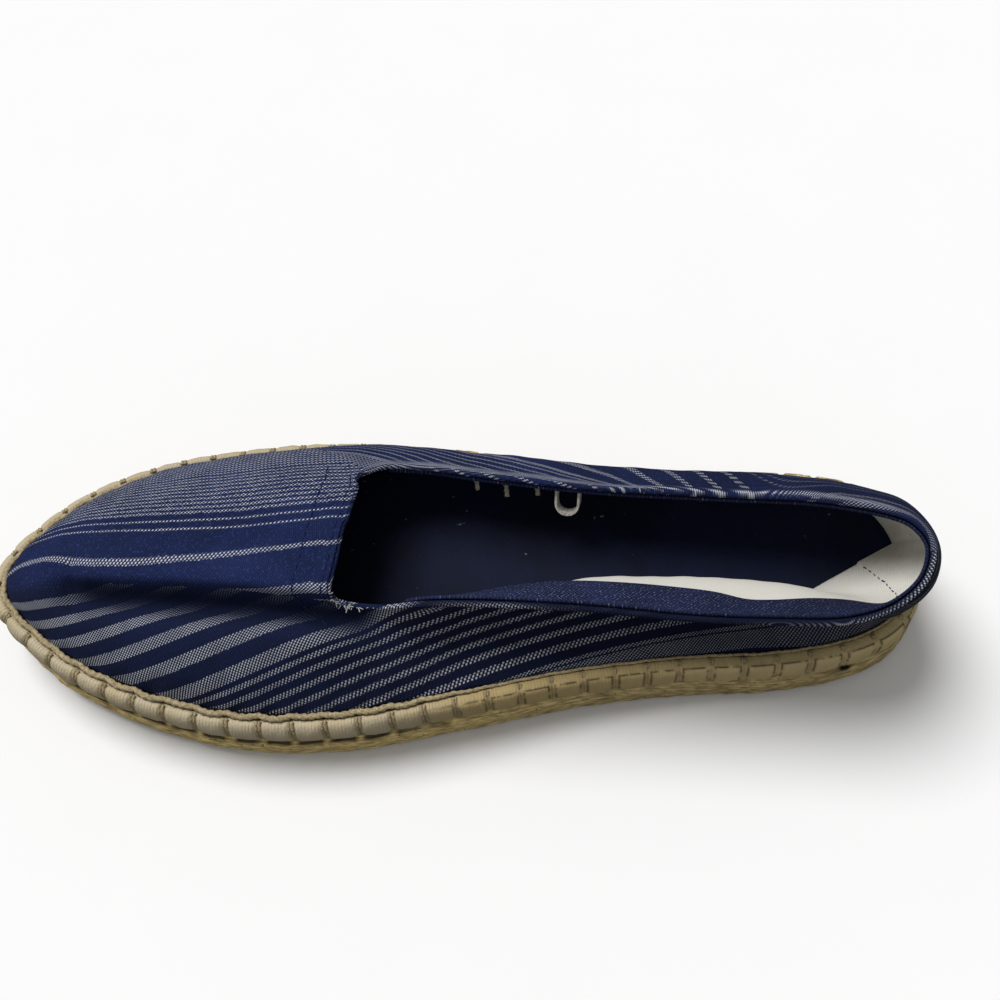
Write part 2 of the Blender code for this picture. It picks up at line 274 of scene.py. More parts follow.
def place(plan, height):
    """World points for plan points on the last at a height over the unsprung sole."""
    x = plan[..., 0]
    return np.stack((x - LAST_LENGTH / 2, plan[..., 1] - BREADTH_MIDDLE, height + spring(x)), axis=-1)


def ring(turns, offset, height):
    return place(last_point(turns) + np.asarray(offset)[..., None] * outward(turns), height + 0 * turns)


def even_turns(steps):
    """Turns round the whole last, with number steps / 2 at the toe and number 0 at the heel."""
    return np.arange(steps) * 2 / steps - 1


def girth(turns):
    """Distance of each turn from the toe along the feather line, negative on the medial side."""
    dense = np.linspace(-1, 1, 2881)
    lengths = running_lengths(last_point(dense))
    return np.interp(turns, dense, lengths - np.interp(0, dense, lengths))


WHOLE_GIRTH = girth(1.0) - girth(-1.0)


def outward_3d(turns):
    return np.hstack((outward(turns), np.zeros((len(turns), 1))))


def plan_on_last(points):
    """Plan points on the last of world points."""
    return points[..., :2] + (LAST_LENGTH / 2, BREADTH_MIDDLE)


def fold_frame(plan):
    """Reach along the vamp's long fold, 0 to 1, distance to its medial side, and the direction of that side."""
    start = np.array((FOLD_START[0] * LAST_LENGTH, FOLD_START[1] * BALL_WIDTH))
    run = np.array((FOLD_END[0] * LAST_LENGTH, FOLD_END[1] * BALL_WIDTH)) - start
    length = np.linalg.norm(run)
    run /= length
    across = np.array((-run[1], run[0]))
    return (plan - start) @ run / length, (plan - start) @ across, across


def fold_shift(plan):
    """Rise and sideways slide of the vamp's long fold at plan points: a lip, and a trough beside it."""
    reach, side, across = fold_frame(plan)
    side = side / FOLD_SPREAD
    strength = span(reach, 0.0, 0.22, 1.02, 0.20)
    lip = np.exp(-((side - 0.8) ** 2))
    trough = np.exp(-((side + 0.9) ** 2))
    rise = strength * (FOLD_LIP * lip - FOLD_DEPTH * trough)
    slide = strength * (0.35 * trough - lip) * FOLD_OVERHANG
    return rise, slide[..., None] * across


def upper_surface(turns, rows, folded=1.0):
    """Outer face of the upper at turns and row numbers, from 0 at the feather line to 14 at the free edge."""
    along, across, rise, fullness, belly = (smooth_column(SECTIONS, n, turns) for n in range(1, 6))
    fullness = np.clip(fullness, 1.0, None)
    foot = last_point(turns)
    edge = np.stack((along * LAST_LENGTH, across * BALL_WIDTH), axis=-1)
    numbers = np.arange(len(VAMP_ROWS))
    even = np.arcsin(np.sqrt(np.interp(rows, numbers, np.linspace(0, 1, len(VAMP_ROWS)))))
    full = np.interp(rows, numbers, VAMP_ROWS) * math.pi / 2
    share = smooth_step((fullness - 1) / 0.45)
    angle = even[:, None] * (1 - share) + full[:, None] * share
    inward = 1 - np.abs(np.cos(angle)) ** (2 / fullness)
    upward = np.sin(angle) ** (2 / fullness)
    bulge = belly * COLLAR_RISE * np.sin(math.pi * inward)
    plan = foot + inward[..., None] * (edge - foot) + bulge[..., None] * outward(turns)
    height = FEATHER_HEIGHT + upward * rise * COLLAR_RISE
    lift, slide = fold_shift(plan)
    settled = smooth_step(upward / 0.5) * folded
    hem = HEM_STEP * smooth_step(rows[:, None] - HEM_ROW + 1) * smooth_step((fullness - 1.3) / 0.2)
    return place(plan + slide * settled[..., None], height + lift * settled + hem)


def grid_normals(points):
    """Unit normals of rows of points, outward where the rows go up and the columns go round from the heel."""
    along = np.roll(points, -1, 1) - np.roll(points, 1, 1)
    return unit(np.cross(along, np.gradient(points, axis=0)))


def heights_up(points):
    """Distance of each point of a grid from its first row, along its column."""
    steps = np.linalg.norm(np.diff(points, axis=0), axis=-1).cumsum(axis=0)
    return np.concatenate((np.zeros((1, points.shape[1])), steps))


def ripple(points, seed, wave, octaves=3):
    """Soft repeatable waviness over points, about -1 to 1, made of crossed sine waves."""
    random = np.random.default_rng(seed)
    total = np.zeros(points.shape[:-1])
    for octave in range(octaves):
        for _ in range(4):
            direction = unit(random.normal(size=3))
            phase = random.uniform(0, 2 * math.pi)
            total += np.sin(points @ direction * 2 * math.pi / (wave / 1.9**octave) + phase) / 1.7**octave
    return total / 4


# Meshes

def new_object(name, data):
    """Object for a datablock, in the scene."""
    made = bpy.data.objects.new(name, data)
    bpy.context.scene.collection.objects.link(made)
    return made


def new_piece(name, mesh, material, replaces=()):
    """Object for a finished mesh that rides with the shoe."""
    mesh.materials.clear()
    mesh.materials.append(material)
    piece = new_object(name, mesh)
    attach(piece, BODY)
    if replaces:
        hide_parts(*replaces)
    return piece


def quad_corners(grid):
    """The four corners of every quad of a grid, on a last axis."""
    return np.stack((grid[:-1, :-1], grid[:-1, 1:], grid[1:, 1:], grid[1:, :-1]), axis=-1)


def smooth_mesh(name, points, faces):
    mesh = bpy.data.meshes.new(name)
    mesh.from_pydata(points.reshape(-1, 3).tolist(), [], faces)
    mesh.update()
    mesh.shade_smooth()
    return mesh


def grid_mesh(name, points, uv=None, closed=False, closed_rows=False, corner_uv=None, period=0.0):
    """Mesh of quads over rows of points; its UV map comes from a grid, which may start again after a period, or
    from the values of every corner."""
    rows, columns = points.shape[:2]
    index = np.arange(rows * columns).reshape(rows, columns)
    if closed:
        index = np.hstack((index, index[:, :1]))
    if closed_rows:
        index = np.vstack((index, index[:1]))
    quads = quad_corners(index).reshape(-1, 4)
    mesh = smooth_mesh(name, points, quads.tolist())
    if uv is not None:
        corner_uv = uv.reshape(-1, 2)[quads]
        first = quads % columns == 0
        wrapped = first.any(axis=1) & (quads % columns == columns - 1).any(axis=1) & closed
        corner_uv[..., 0] += period * (wrapped[:, None] & first)
    if corner_uv is not None:
        layer = mesh.uv_layers.new(name="cloth")
        layer.data.foreach_set("uv", corner_uv.astype(np.float32).reshape(-1))
    return mesh


def add_mask(mesh, name, values):
    """Float attribute on the points of a mesh."""
    layer = mesh.attributes.new(name, "FLOAT", "POINT")
    layer.data.foreach_set("value", values.astype(np.float32).reshape(-1))


def join_meshes(name, meshes):
    """One mesh from several that share their attributes."""
    parts = [new_object(name, mesh) for mesh in meshes]
    with bpy.context.temp_override(active_object=parts[0], object=parts[0], selected_editable_objects=parts):
        bpy.ops.object.join()
    mesh = parts[0].data
    bpy.data.objects.remove(parts[0])
    mesh.name = name
    return mesh


def tube_mesh(name, path, radius, sides=8, lobes=0, twist=0.0, closed=False):
    """Round or plied tube along a path; its lobes turn round it once every twist metres."""
    if closed:
        along = unit(np.roll(path, -1, 0) - np.roll(path, 1, 0))
    else:
        along = unit(np.gradient(path, axis=0))
    side = unit(np.cross(along[0], (0.31, 0.22, 0.92)))
    frames = []
    for step in along:
        side = unit(side - step * (side @ step))
        frames.append((side, np.cross(step, side)))
    frames = np.array(frames)
    angles = np.linspace(0, 2 * math.pi, sides, endpoint=False)
    turning = 2 * math.pi * running_lengths(path) / twist if twist else np.zeros(len(path))
    swell = LOBE_DEPTH * np.cos(lobes * (angles - turning[:, None])) * (lobes > 0)
    size = np.broadcast_to(radius, len(path))[:, None] * (1 + swell)
    spokes = np.cos(angles)[:, None] * frames[:, :1] + np.sin(angles)[:, None] * frames[:, 1:]
    points = path[:, None] + size[..., None] * spokes
    if closed:
        return grid_mesh(name, points.transpose(1, 0, 2), closed=True, closed_rows=True)
    index = np.arange(len(path) * sides).reshape(len(path), sides)
    quads = quad_corners(np.hstack((index, index[:, :1]))).reshape(-1, 4)
    ends = [index[0, ::-1].tolist(), index[-1].tolist()]
    return smooth_mesh(name, points, quads.tolist() + ends)


# Colours of stains and lint, of the painted shade at the waist, of the painted light on the front of the sole,
# of the nick and the painted shadow in the gaps under the rand, and of loose threads
COTTON_STAIN = (0.45, 0.38, 0.26)
LINT = (0.22, 0.25, 0.34)
WAIST_SHADE = (0.76, 0.72, 0.65)
PAINTED_FRONT_LIGHT = (1.38, 1.36, 1.26)
NICK_AND_GAP_SHADE = (0.008, 0.008, 0.008)
PALE_THREAD = (0.50, 0.50, 0.50)
CUT_THREAD = (0.42, 0.38, 0.28)


# Shader nodes

def add_node(tree, kind, inputs=None, **settings):
    """Node of a kind with its settings, and its inputs linked or set by name or number."""
    node = tree.nodes.new(kind)
    for name, value in settings.items():
        setattr(node, name, value)
    for key, value in (inputs or {}).items():
        if isinstance(value, bpy.types.NodeSocket):
            tree.links.new(value, node.inputs[key])
        else:
            node.inputs[key].default_value = value
    return node


def calc(tree, operation, *values, clamp=False):
    """Result of a Math node."""
    node = add_node(tree, "ShaderNodeMath", dict(enumerate(values)), operation=operation, use_clamp=clamp)
    return node.outputs[0]


def times(tree, value, *others):
    """Product of two or more values."""
    for other in others:
        value = calc(tree, "MULTIPLY", value, other)
    return value


def plus(tree, value, *others):
    for other in others:
        value = calc(tree, "ADD", value, other)
    return value


def minus(tree, value, other):
    return calc(tree, "SUBTRACT", value, other)


def over(tree, value, other):
    return calc(tree, "DIVIDE", value, other)


def sine(tree, turns):
    """Sine of a number of turns."""
    return calc(tree, "SINE", times(tree, turns, 2 * math.pi))


def mix_colours(tree, share, first, second, mode="MIX"):
    inputs = {0: share, 6: first, 7: second}
    return add_node(tree, "ShaderNodeMix", inputs, data_type="RGBA", blend_type=mode).outputs[2]


def tint(tree, base, mask, share, colour):
    """Base colour with another laid over it where a mask says so, up to a share."""
    return mix_colours(tree, times(tree, mask, share), base, colour)


def shade(tree, base, value):
    """Base colour times a grey value."""
    grey = add_node(tree, "ShaderNodeCombineColor", {0: value, 1: value, 2: value}).outputs[0]
    return mix_colours(tree, 1.0, base, grey, "MULTIPLY")


def remap(tree, value, low, high, start=0.0, end=1.0):
    inputs = {0: value, 1: low, 2: high, 3: start, 4: end}
    return add_node(tree, "ShaderNodeMapRange", inputs, interpolation_type="SMOOTHSTEP").outputs[0]


def noise(tree, vector, scale, detail=3.0, roughness=0.55):
    inputs = {"Vector": vector, "Scale": scale, "Detail": detail, "Roughness": roughness}
    return add_node(tree, "ShaderNodeTexNoise", inputs).outputs["Fac"]


def patches(tree, vector, scale, detail, low, high, start=0.0, end=1.0):
    """Noise between two levels."""
    return remap(tree, noise(tree, vector, scale, detail), low, high, start, end)


def new_group(name, outputs, **inputs):
    """Shader node group with float outputs; an input is a float with its default, or a vector without one."""
    group = bpy.data.node_groups.new(name, "ShaderNodeTree")
    for label, default in inputs.items():
        kind = "NodeSocketVector" if default is None else "NodeSocketFloat"
        socket = group.interface.new_socket(label, in_out="INPUT", socket_type=kind)
        if default is not None:
            socket.default_value = default
    for label in outputs:
        group.interface.new_socket(label, in_out="OUTPUT", socket_type="NodeSocketFloat")
    start = group.nodes.new("NodeGroupInput")
    end = group.nodes.new("NodeGroupOutput")
    return group, start.outputs, end.inputs


def use_group(tree, name, **inputs):
    return add_node(tree, "ShaderNodeGroup", inputs, node_tree=bpy.data.node_groups[name]).outputs


def build_weave_group():
    """Plain weave: which yarn lies on top, and the height of the yarns."""
    outputs = ("Over", "Height")
    tree, given, result = new_group("Plain weave", outputs, Along=0.0, Across=0.0, Pitch=0.0006)
    along = over(tree, given["Along"], given["Pitch"])
    across = over(tree, given["Across"], given["Pitch"])
    side = calc(tree, "FRACT", across)
    slant = times(tree, minus(tree, side, 0.5), 0.45)
    crest = calc(tree, "SINE", times(tree, plus(tree, along, calc(tree, "FLOOR", across), slant), math.pi))
    yarn = calc(tree, "SINE", times(tree, side, math.pi))
    top = times(tree, remap(tree, crest, -0.3, 0.55), remap(tree, yarn, 0.0, 0.7))
    tree.links.new(top, result["Over"])
    pick = calc(tree, "SINE", times(tree, calc(tree, "FRACT", along), math.pi))
    tree.links.new(plus(tree, top, times(tree, pick, 0.35)), result["Height"])


def build_stripe_group():
    """Mask of a run of even stripes along one coordinate."""
    sizes = {"First": 0.0, "Pitch": 1.0, "Count": 1.0, "Width": 1.0, "Edge": 0.25}
    tree, given, result = new_group("Stripe run", ("Mask",), Coordinate=0.0, **sizes)
    number = over(tree, minus(tree, given["Coordinate"], given["First"]), given["Pitch"])
    nearest = calc(tree, "MINIMUM", calc(tree, "ROUND", number), minus(tree, given["Count"], 1.0))
    nearest = calc(tree, "MAXIMUM", nearest, 0.0)
    away = calc(tree, "ABSOLUTE", times(tree, minus(tree, number, nearest), given["Pitch"]))
    half = times(tree, given["Width"], 0.5)
    outside = remap(tree, away, half, plus(tree, half, given["Edge"]))
    tree.links.new(minus(tree, 1.0, outside), result["Mask"])


def build_fibre_group():
    """Streaks and specks of spun fibre along the first axis of a vector."""
    tree, given, result = new_group("Fibres", ("Streak", "Speck"), Vector=None, Scale=900.0, Stretch=0.12)
    scales = add_node(tree, "ShaderNodeCombineXYZ", {"X": given["Stretch"], "Y": 1.0, "Z": 1.0}).outputs[0]
    inputs = {0: given["Vector"], 1: scales}
    scaled = add_node(tree, "ShaderNodeVectorMath", inputs, operation="MULTIPLY").outputs[0]
    tree.links.new(noise(tree, scaled, given["Scale"], 4.0, 0.6), result["Streak"])
    tree.links.new(patches(tree, given["Vector"], 700.0, 2.0, 0.60, 0.72), result["Speck"])


def build_soil_group():
    """Uneven dirt: large clouds broken up by small grain."""
    tree, given, result = new_group("Soiling", ("Mask",), Vector=None, Scale=60.0, Amount=0.5)
    cloud = noise(tree, given["Vector"], given["Scale"], 5.0, 0.62)
    low = minus(tree, 0.72, times(tree, given["Amount"], 0.4))
    high = plus(tree, low, 0.22)
    share = calc(tree, "DIVIDE", minus(tree, cloud, low), minus(tree, high, low), clamp=True)
    tree.links.new(share, result["Mask"])


def soil(tree, scale, amount):
    """Mask of the dirt on a piece."""
    return use_group(tree, "Soiling", Vector=object_coordinates(tree), Scale=scale, Amount=amount)["Mask"]


def new_material(name, roughness, gloss=0.12):
    material = bpy.data.materials.new(name)
    material.use_nodes = True
    shader = material.node_tree.nodes["Principled BSDF"]
    shader.inputs["Roughness"].default_value = roughness
    shader.inputs["Specular IOR Level"].default_value = gloss
    return material, material.node_tree


def finished(material, base, height=None, distance=0.0, strength=1.0):
    """The material, with its base colour and its bump linked."""
    tree = material.node_tree
    shader = tree.nodes["Principled BSDF"]
    tree.links.new(base, shader.inputs["Base Color"])
    if height is not None:
        inputs = {"Height": height, "Distance": distance, "Strength": strength}
        tree.links.new(add_node(tree, "ShaderNodeBump", inputs).outputs[0], shader.inputs["Normal"])
    return material


def cloth_coordinates(tree):
    """The two values of the UV map, in metres, and its vector."""
    vector = add_node(tree, "ShaderNodeUVMap", uv_map="cloth").outputs[0]
    parts = add_node(tree, "ShaderNodeSeparateXYZ", {0: vector}).outputs
    return parts["X"], parts["Y"], vector


def object_coordinates(tree):
    return add_node(tree, "ShaderNodeTexCoord").outputs["Object"]


def along_shoe(tree, low, high, start=0.0, end=1.0):
    """Value that goes from start to end between two places on the X axis."""
    x = add_node(tree, "ShaderNodeSeparateXYZ", {0: object_coordinates(tree)}).outputs[0]
    return remap(tree, x, low, high, start, end)


def heel_shade_share(tree):
    """Share from 0 at the waist to 1 at the heel, for the painted shade laid on the cloth there."""
    return along_shoe(tree, 0.01, 0.10)


def attribute(tree, name):
    return add_node(tree, "ShaderNodeAttribute", attribute_name=name).outputs["Fac"]


def rgba(colour, factor=1.0):
    return (*(factor * part for part in colour), 1.0)


def stripe_mask(tree, coordinate):
    """Where the light stripes of the cloth are, from their coordinate in millimetres."""
    mask = None
    for first, pitch, count, width, cover_and_shade in STRIPE_RUNS:
        sizes = {"First": first, "Pitch": pitch, "Count": float(count), "Width": width}
        run = times(tree, use_group(tree, "Stripe run", Coordinate=coordinate, **sizes)["Mask"], cover_and_shade)
        mask = run if mask is None else calc(tree, "MAXIMUM", mask, run)
    return mask


def canvas_material(cloth):
    """Navy canvas with its light stripes, worn, with painted shade at the heel, in the fold's trough and on the
    lateral side.
    """
    material, tree = new_material("striped_canvas", 0.85)
    along, across, vector = cloth_coordinates(tree)
    place_at = object_coordinates(tree)
    band_and_trough_shade = attribute(tree, "plain_band_and_trough_shade")
    line = attribute(tree, "fold_line")
    weave = use_group(tree, "Plain weave", Along=along, Across=across, Pitch=cloth.yarn_pitch)
    uneven = times(tree, minus(tree, noise(tree, vector, 900.0, 1.0), 0.5), 0.0006)
    mask = stripe_mask(tree, times(tree, plus(tree, across, uneven), 1000.0))
    # Stripes give way in the plain band at the edge, and in the fold's trough, where they fade into painted
    # shade.
    mask = calc(tree, "MAXIMUM", times(tree, mask, minus(tree, 1.0, band_and_trough_shade)), line)
    yarn = times(tree, mask, weave["Over"], patches(tree, place_at, 160.0, 4.0, 0.30, 0.62, 0.72, 1.0))
    fade = patches(tree, place_at, 38.0, 3.0, 0.35, 0.65)
    navy = mix_colours(tree, fade, rgba(cloth.navy, 0.78), rgba(cloth.navy, 1.22))
    navy = tint(tree, navy, patches(tree, vector, 1300.0, 2.0, 0.53, 0.68), 0.42, rgba(cloth.navy, 3.0))
    navy = shade(tree, navy, remap(tree, weave["Height"], 0.0, 0.9, 0.72, 1.18))
    # Painted shade on the lateral side and below the fold.
    navy = tint(tree, navy, attribute(tree, "lateral_shade"), 0.82, rgba(cloth.lateral_shade))
    base = mix_colours(tree, yarn, navy, rgba(cloth.stripe))
    off_line = minus(tree, 1.0, times(tree, line, 0.95))
    # Darker in the plain band at the edge, and painted shade in the fold's trough.
    base = tint(tree, base, times(tree, band_and_trough_shade, 0.7), off_line, rgba(cloth.navy, 0.3))
    # Painted shade: the canvas darkens towards the heel, except on the fold line.
    base = tint(tree, base, heel_shade_share(tree), times(tree, 0.5, off_line), rgba(cloth.navy, 0.3))
    return finished(material, base, weave["Height"], 0.00022, 0.8)


def cotton_material(name, colour, pitch, soiling=0.4, dark=(0.02, 0.03, 0.09)):
    """Plain cotton in one colour, dark navy where the mask "under_vamp" says so."""
    material, tree = new_material(name, 0.92)
    along, across, _ = cloth_coordinates(tree)
    weave = use_group(tree, "Plain weave", Along=along, Across=across, Pitch=pitch)
    base = tint(tree, rgba(colour), soil(tree, 70.0, soiling), 0.45, rgba(COTTON_STAIN))
    base = shade(tree, base, remap(tree, weave["Height"], 0.0, 0.8, 0.90, 1.03))
    base = mix_colours(tree, attribute(tree, "under_vamp"), base, rgba(dark))
    return finished(material, base, weave["Height"], 0.0001, 0.6)


def tape_material(trim):
    """Navy herringbone twill with pale flecks."""
    material, tree = new_material("herringbone_tape", 0.75, 0.2)
    along, across, vector = cloth_coordinates(tree)
    flip = calc(tree, "PINGPONG", over(tree, across, trim.chevron), 1.0)
    wale = sine(tree, plus(tree, over(tree, along, trim.twill_pitch), times(tree, flip, 1.6)))
    raised = remap(tree, wale, -0.4, 0.7)
    fleck = remap(tree, noise(tree, vector, 2100.0, 2.0, 0.5), 0.53, 0.66)
    fade = patches(tree, object_coordinates(tree), 90.0, 3.0, 0.35, 0.65)
    base = mix_colours(tree, fade, rgba(trim.tape, 0.75), rgba(trim.tape, 1.35))
    base = tint(tree, base, raised, 0.55, rgba(trim.tape, 2.1))
    base = tint(tree, base, times(tree, fleck, raised), 0.75, rgba(trim.fleck))
    # Painted shade: the tape darkens towards the heel.
    base = tint(tree, base, heel_shade_share(tree), 0.45, rgba(trim.tape, 0.3))
    return finished(material, base, wale, 0.00018, 0.9)


def insole_material(trim):
    """Smooth navy cloth with lint and a slightly paler worn middle."""
    material, tree = new_material("insole_cloth", 0.7, 0.15)
    place_at = object_coordinates(tree)
    worn = patches(tree, place_at, 26.0, 3.0, 0.38, 0.66)
    base = mix_colours(tree, worn, rgba(trim.insole, 0.75), rgba(trim.insole, 1.5))
    base = tint(tree, base, patches(tree, place_at, 520.0, 1.0, 0.76, 0.82), 0.5, rgba(LINT))
    rumple = times(tree, noise(tree, place_at, 60.0, 2.0), 3.0)
    return finished(material, base, plus(tree, noise(tree, place_at, 1900.0, 2.0), rumple), 0.00025, 0.7)


def rand_material(sole):
    """Ribbed cotton rand, clean at the toe and pressed and browner towards the heel."""
    material, tree = new_material("ribbed_rand", 0.6, 0.35)
    along, _, vector = cloth_coordinates(tree)
    rib = remap(tree, sine(tree, over(tree, along, sole.rib_pitch)), -0.8, 0.8)
    rib = times(tree, rib, patches(tree, vector, 500.0, 3.0, 0.3, 0.6))
    base = tint(tree, rgba(sole.rand, 0.86), rib, 0.30, rgba(sole.rand, 1.22))
    base = tint(tree, base, attribute(tree, "pressed"), 0.85, rgba(sole.jute, 1.25))
    base = tint(tree, base, soil(tree, 85.0, 0.6), 0.5, rgba(sole.jute, 0.9))
    lines = patches(tree, object_coordinates(tree), 420.0, 2.0, 0.32, 0.52)
    # Painted shade in the creases of the pressed rand and in the gaps beside the stitches.
    base = tint(tree, base, times(tree, attribute(tree, "crease"), lines), 0.95, rgba(sole.jute, 0.10))
    waist = times(tree, along_shoe(tree, -0.035, 0.010), along_shoe(tree, 0.035, 0.080, 1.0, 0.0))
    base = mix_colours(tree, waist, base, rgba(WAIST_SHADE), "MULTIPLY")
    grain = plus(tree, times(tree, rib, 0.6), noise(tree, vector, 1600.0, 3.0))
    return finished(material, base, grain, 0.00022, 0.8)


def jute_material(sole):
    """Pressed jute: streaks along the braid, dark specks and soiled patches."""
    material, tree = new_material("pressed_jute", 0.93)
    along, across, vector = cloth_coordinates(tree)
    fibres = use_group(tree, "Fibres", Vector=vector, Scale=1300.0, Stretch=0.16)
    coil = calc(tree, "PINGPONG", over(tree, across, sole.braid), 1.0)
    plait = sine(tree, plus(tree, over(tree, along, sole.braid), coil))
    streak = remap(tree, fibres["Streak"], 0.32, 0.66)
    base = mix_colours(tree, streak, rgba(sole.jute, 0.55), rgba(sole.jute, 1.45))
    base = tint(tree, base, remap(tree, plait, -1.0, -0.3, 1.0, 0.0), 0.25, rgba(sole.jute, 0.35))
    base = tint(tree, base, soil(tree, 110.0, 0.55), 0.6, rgba(sole.soil))
    base = tint(tree, base, fibres["Speck"], 0.7, rgba(sole.soil, 0.45))
    # Painted light: the jute is brighter towards the toe.
    front = along_shoe(tree, -0.02, 0.05, 1.0, 0.0)
    base = mix_colours(tree, front, base, rgba(PAINTED_FRONT_LIGHT), "MULTIPLY")
    # The dark nick, and painted shadow in the slits under the front of the rand.
    base = mix_colours(tree, attribute(tree, "nick_and_gap_shade"), base, rgba(NICK_AND_GAP_SHADE))
    relief = plus(tree, fibres["Streak"], times(tree, plait, 0.35))
    return finished(material, base, relief, 0.00045, 0.9)


def thread_material(name, colour):
    """Twisted thread with fibres and a little dirt."""
    material, tree = new_material(name, 0.9)
    streak = use_group(tree, "Fibres", Vector=object_coordinates(tree), Scale=1500.0, Stretch=1.0)["Streak"]
    base = mix_colours(tree, remap(tree, streak, 0.3, 0.68), rgba(colour, 0.62), rgba(colour, 1.3))
    base = tint(tree, base, soil(tree, 120.0, 0.4), 0.4, rgba(colour, 0.45))
    return finished(material, base, streak, 0.0002, 0.8)


def floor_material(stage):
    """Floor that sends less light back than it shows to the camera."""
    material, tree = new_material("floor", 0.9)
    grain = noise(tree, object_coordinates(tree), 30.0, 3.0)
    base = mix_colours(tree, grain, rgba(stage.floor, 0.985), rgba(stage.floor))
    seen = add_node(tree, "ShaderNodeLightPath").outputs["Is Camera Ray"]
    return finished(material, mix_colours(tree, seen, rgba(stage.bounce), base))


# Copies along a path, by Geometry Nodes

def build_copies_tree():
    """Tree that sets a template on every point, turned to its facing and course, with some variation."""
    tree = bpy.data.node_groups.new("Copies on places", "GeometryNodeTree")
    sockets = {"Geometry": "Geometry", "Template": "Object", "Material": "Material"}
    sockets.update({"Smallest": "Float", "Largest": "Float", "Tilt": "Float", "Seed": "Int"})
    for label, kind in sockets.items():
        tree.interface.new_socket(label, in_out="INPUT", socket_type="NodeSocket" + kind)
    tree.interface.new_socket("Geometry", in_out="OUTPUT", socket_type="NodeSocketGeometry")
    given = tree.nodes.new("NodeGroupInput").outputs
    result = tree.nodes.new("NodeGroupOutput").inputs

    def node(kind, inputs, output=0, **settings):
        return add_node(tree, kind, inputs, **settings).outputs[output]

    def named(label):
        return node("GeometryNodeInputNamedAttribute", {"Name": label}, data_type="FLOAT_VECTOR")

    def random_value(low, high):
        return node("FunctionNodeRandomValue", {2: low, 3: high, "Seed": given["Seed"]}, 1, data_type="FLOAT")

    turned = node("FunctionNodeAlignRotationToVector", {"Vector": named("facing")}, axis="Z")
    inputs = {"Rotation": turned, "Vector": named("course")}
    turned = node("FunctionNodeAlignRotationToVector", inputs, axis="X", pivot_axis="Z")
    tilt = random_value(times(tree, given["Tilt"], -1.0), given["Tilt"])
    spin = node("FunctionNodeAxisAngleToRotation", {"Axis": (0.0, 0.0, 1.0), "Angle": tilt})
    turned = node("FunctionNodeRotateRotation", {0: turned, 1: spin}, rotation_space="LOCAL")
    template = node("GeometryNodeObjectInfo", {"Object": given["Template"]}, "Geometry")
    size = random_value(given["Smallest"], given["Largest"])
    inputs = {"Points": given["Geometry"], "Instance": template, "Rotation": turned, "Scale": size}
    copies = node("GeometryNodeInstanceOnPoints", inputs)
    real = node("GeometryNodeRealizeInstances", {"Geometry": copies})
    shaded = node("GeometryNodeSetMaterial", {"Geometry": real, "Material": given["Material"]})
    tree.links.new(shaded, result[0])


def copies_mesh(name, template, places, facing, course, material, spread, tilt, seed):
    """Plain mesh of a template mesh repeated on places, made by the Geometry Nodes tree."""
    points = bpy.data.meshes.new(name + "_places")
    points.from_pydata(places.tolist(), [], [])
    for label, values in (("facing", facing), ("course", course)):
        layer = points.attributes.new(label, "FLOAT_VECTOR", "POINT")
        layer.data.foreach_set("vector", values.astype(np.float32).reshape(-1))
    holder = new_object(name + "_places", points)
    pattern = new_object(name + "_template", template)
    nodes = holder.modifiers.new("copies", "NODES")
    nodes.node_group = bpy.data.node_groups["Copies on places"]
    values = {"Template": pattern, "Material": material, "Smallest": spread[0], "Largest": spread[1]}
    values.update({"Tilt": tilt, "Seed": seed})
    for item in nodes.node_group.interface.items_tree:
        if item.in_out == "INPUT" and item.name in values:
            nodes[item.identifier] = values[item.name]
    depsgraph = bpy.context.evaluated_depsgraph_get()
    mesh = bpy.data.meshes.new_from_object(holder.evaluated_get(depsgraph), depsgraph=depsgraph)
    mesh.name = name
    mesh.shade_smooth()
    bpy.data.objects.remove(holder)
    bpy.data.objects.remove(pattern)
    return mesh


# Settings

def length(name, text, default):
    sizes = {"default": default, "min": 0.0, "max": 1.0, "precision": 5}
    return FloatProperty(name=name, description=text, subtype="DISTANCE", unit="LENGTH", **sizes)


def colour(name, text, default):
    sizes = {"default": default, "min": 0.0, "max": 1.0}
    return FloatVectorProperty(name=name, description=text, subtype="COLOR", **sizes)


def amount(name, text, default):
    return FloatProperty(name=name, description=text, default=default, min=0.0)


def whole(name, text, default):
    return IntProperty(name=name, description=text, default=default, min=20, max=1200)


class ClothSettings(bpy.types.PropertyGroup):
    navy: colour("Navy", "Colour of the navy yarn", (0.012, 0.021, 0.080))
    # Painted shade: the darker navy laid on the lateral side and below the fold.
    lateral_shade: colour("Lateral shade navy", "Colour of the painted shade on the lateral navy", (0.006, 0.009, 0.026))
    stripe: colour("Stripe", "Colour of the light warp yarn", (0.61, 0.63, 0.69))
    yarn_pitch: length("Yarn pitch", "Distance between yarns of the canvas", 0.00052)
    columns: whole("Columns", "Columns of the canvas mesh", 600)
    rows: whole("Rows", "Rows of the canvas mesh", 72)
    gather: length("Gather", "Depth of the gathers over the stitched edge", 0.00035)
    wrinkle: length("Wrinkle", "Height of the soft wrinkles", 0.00035)


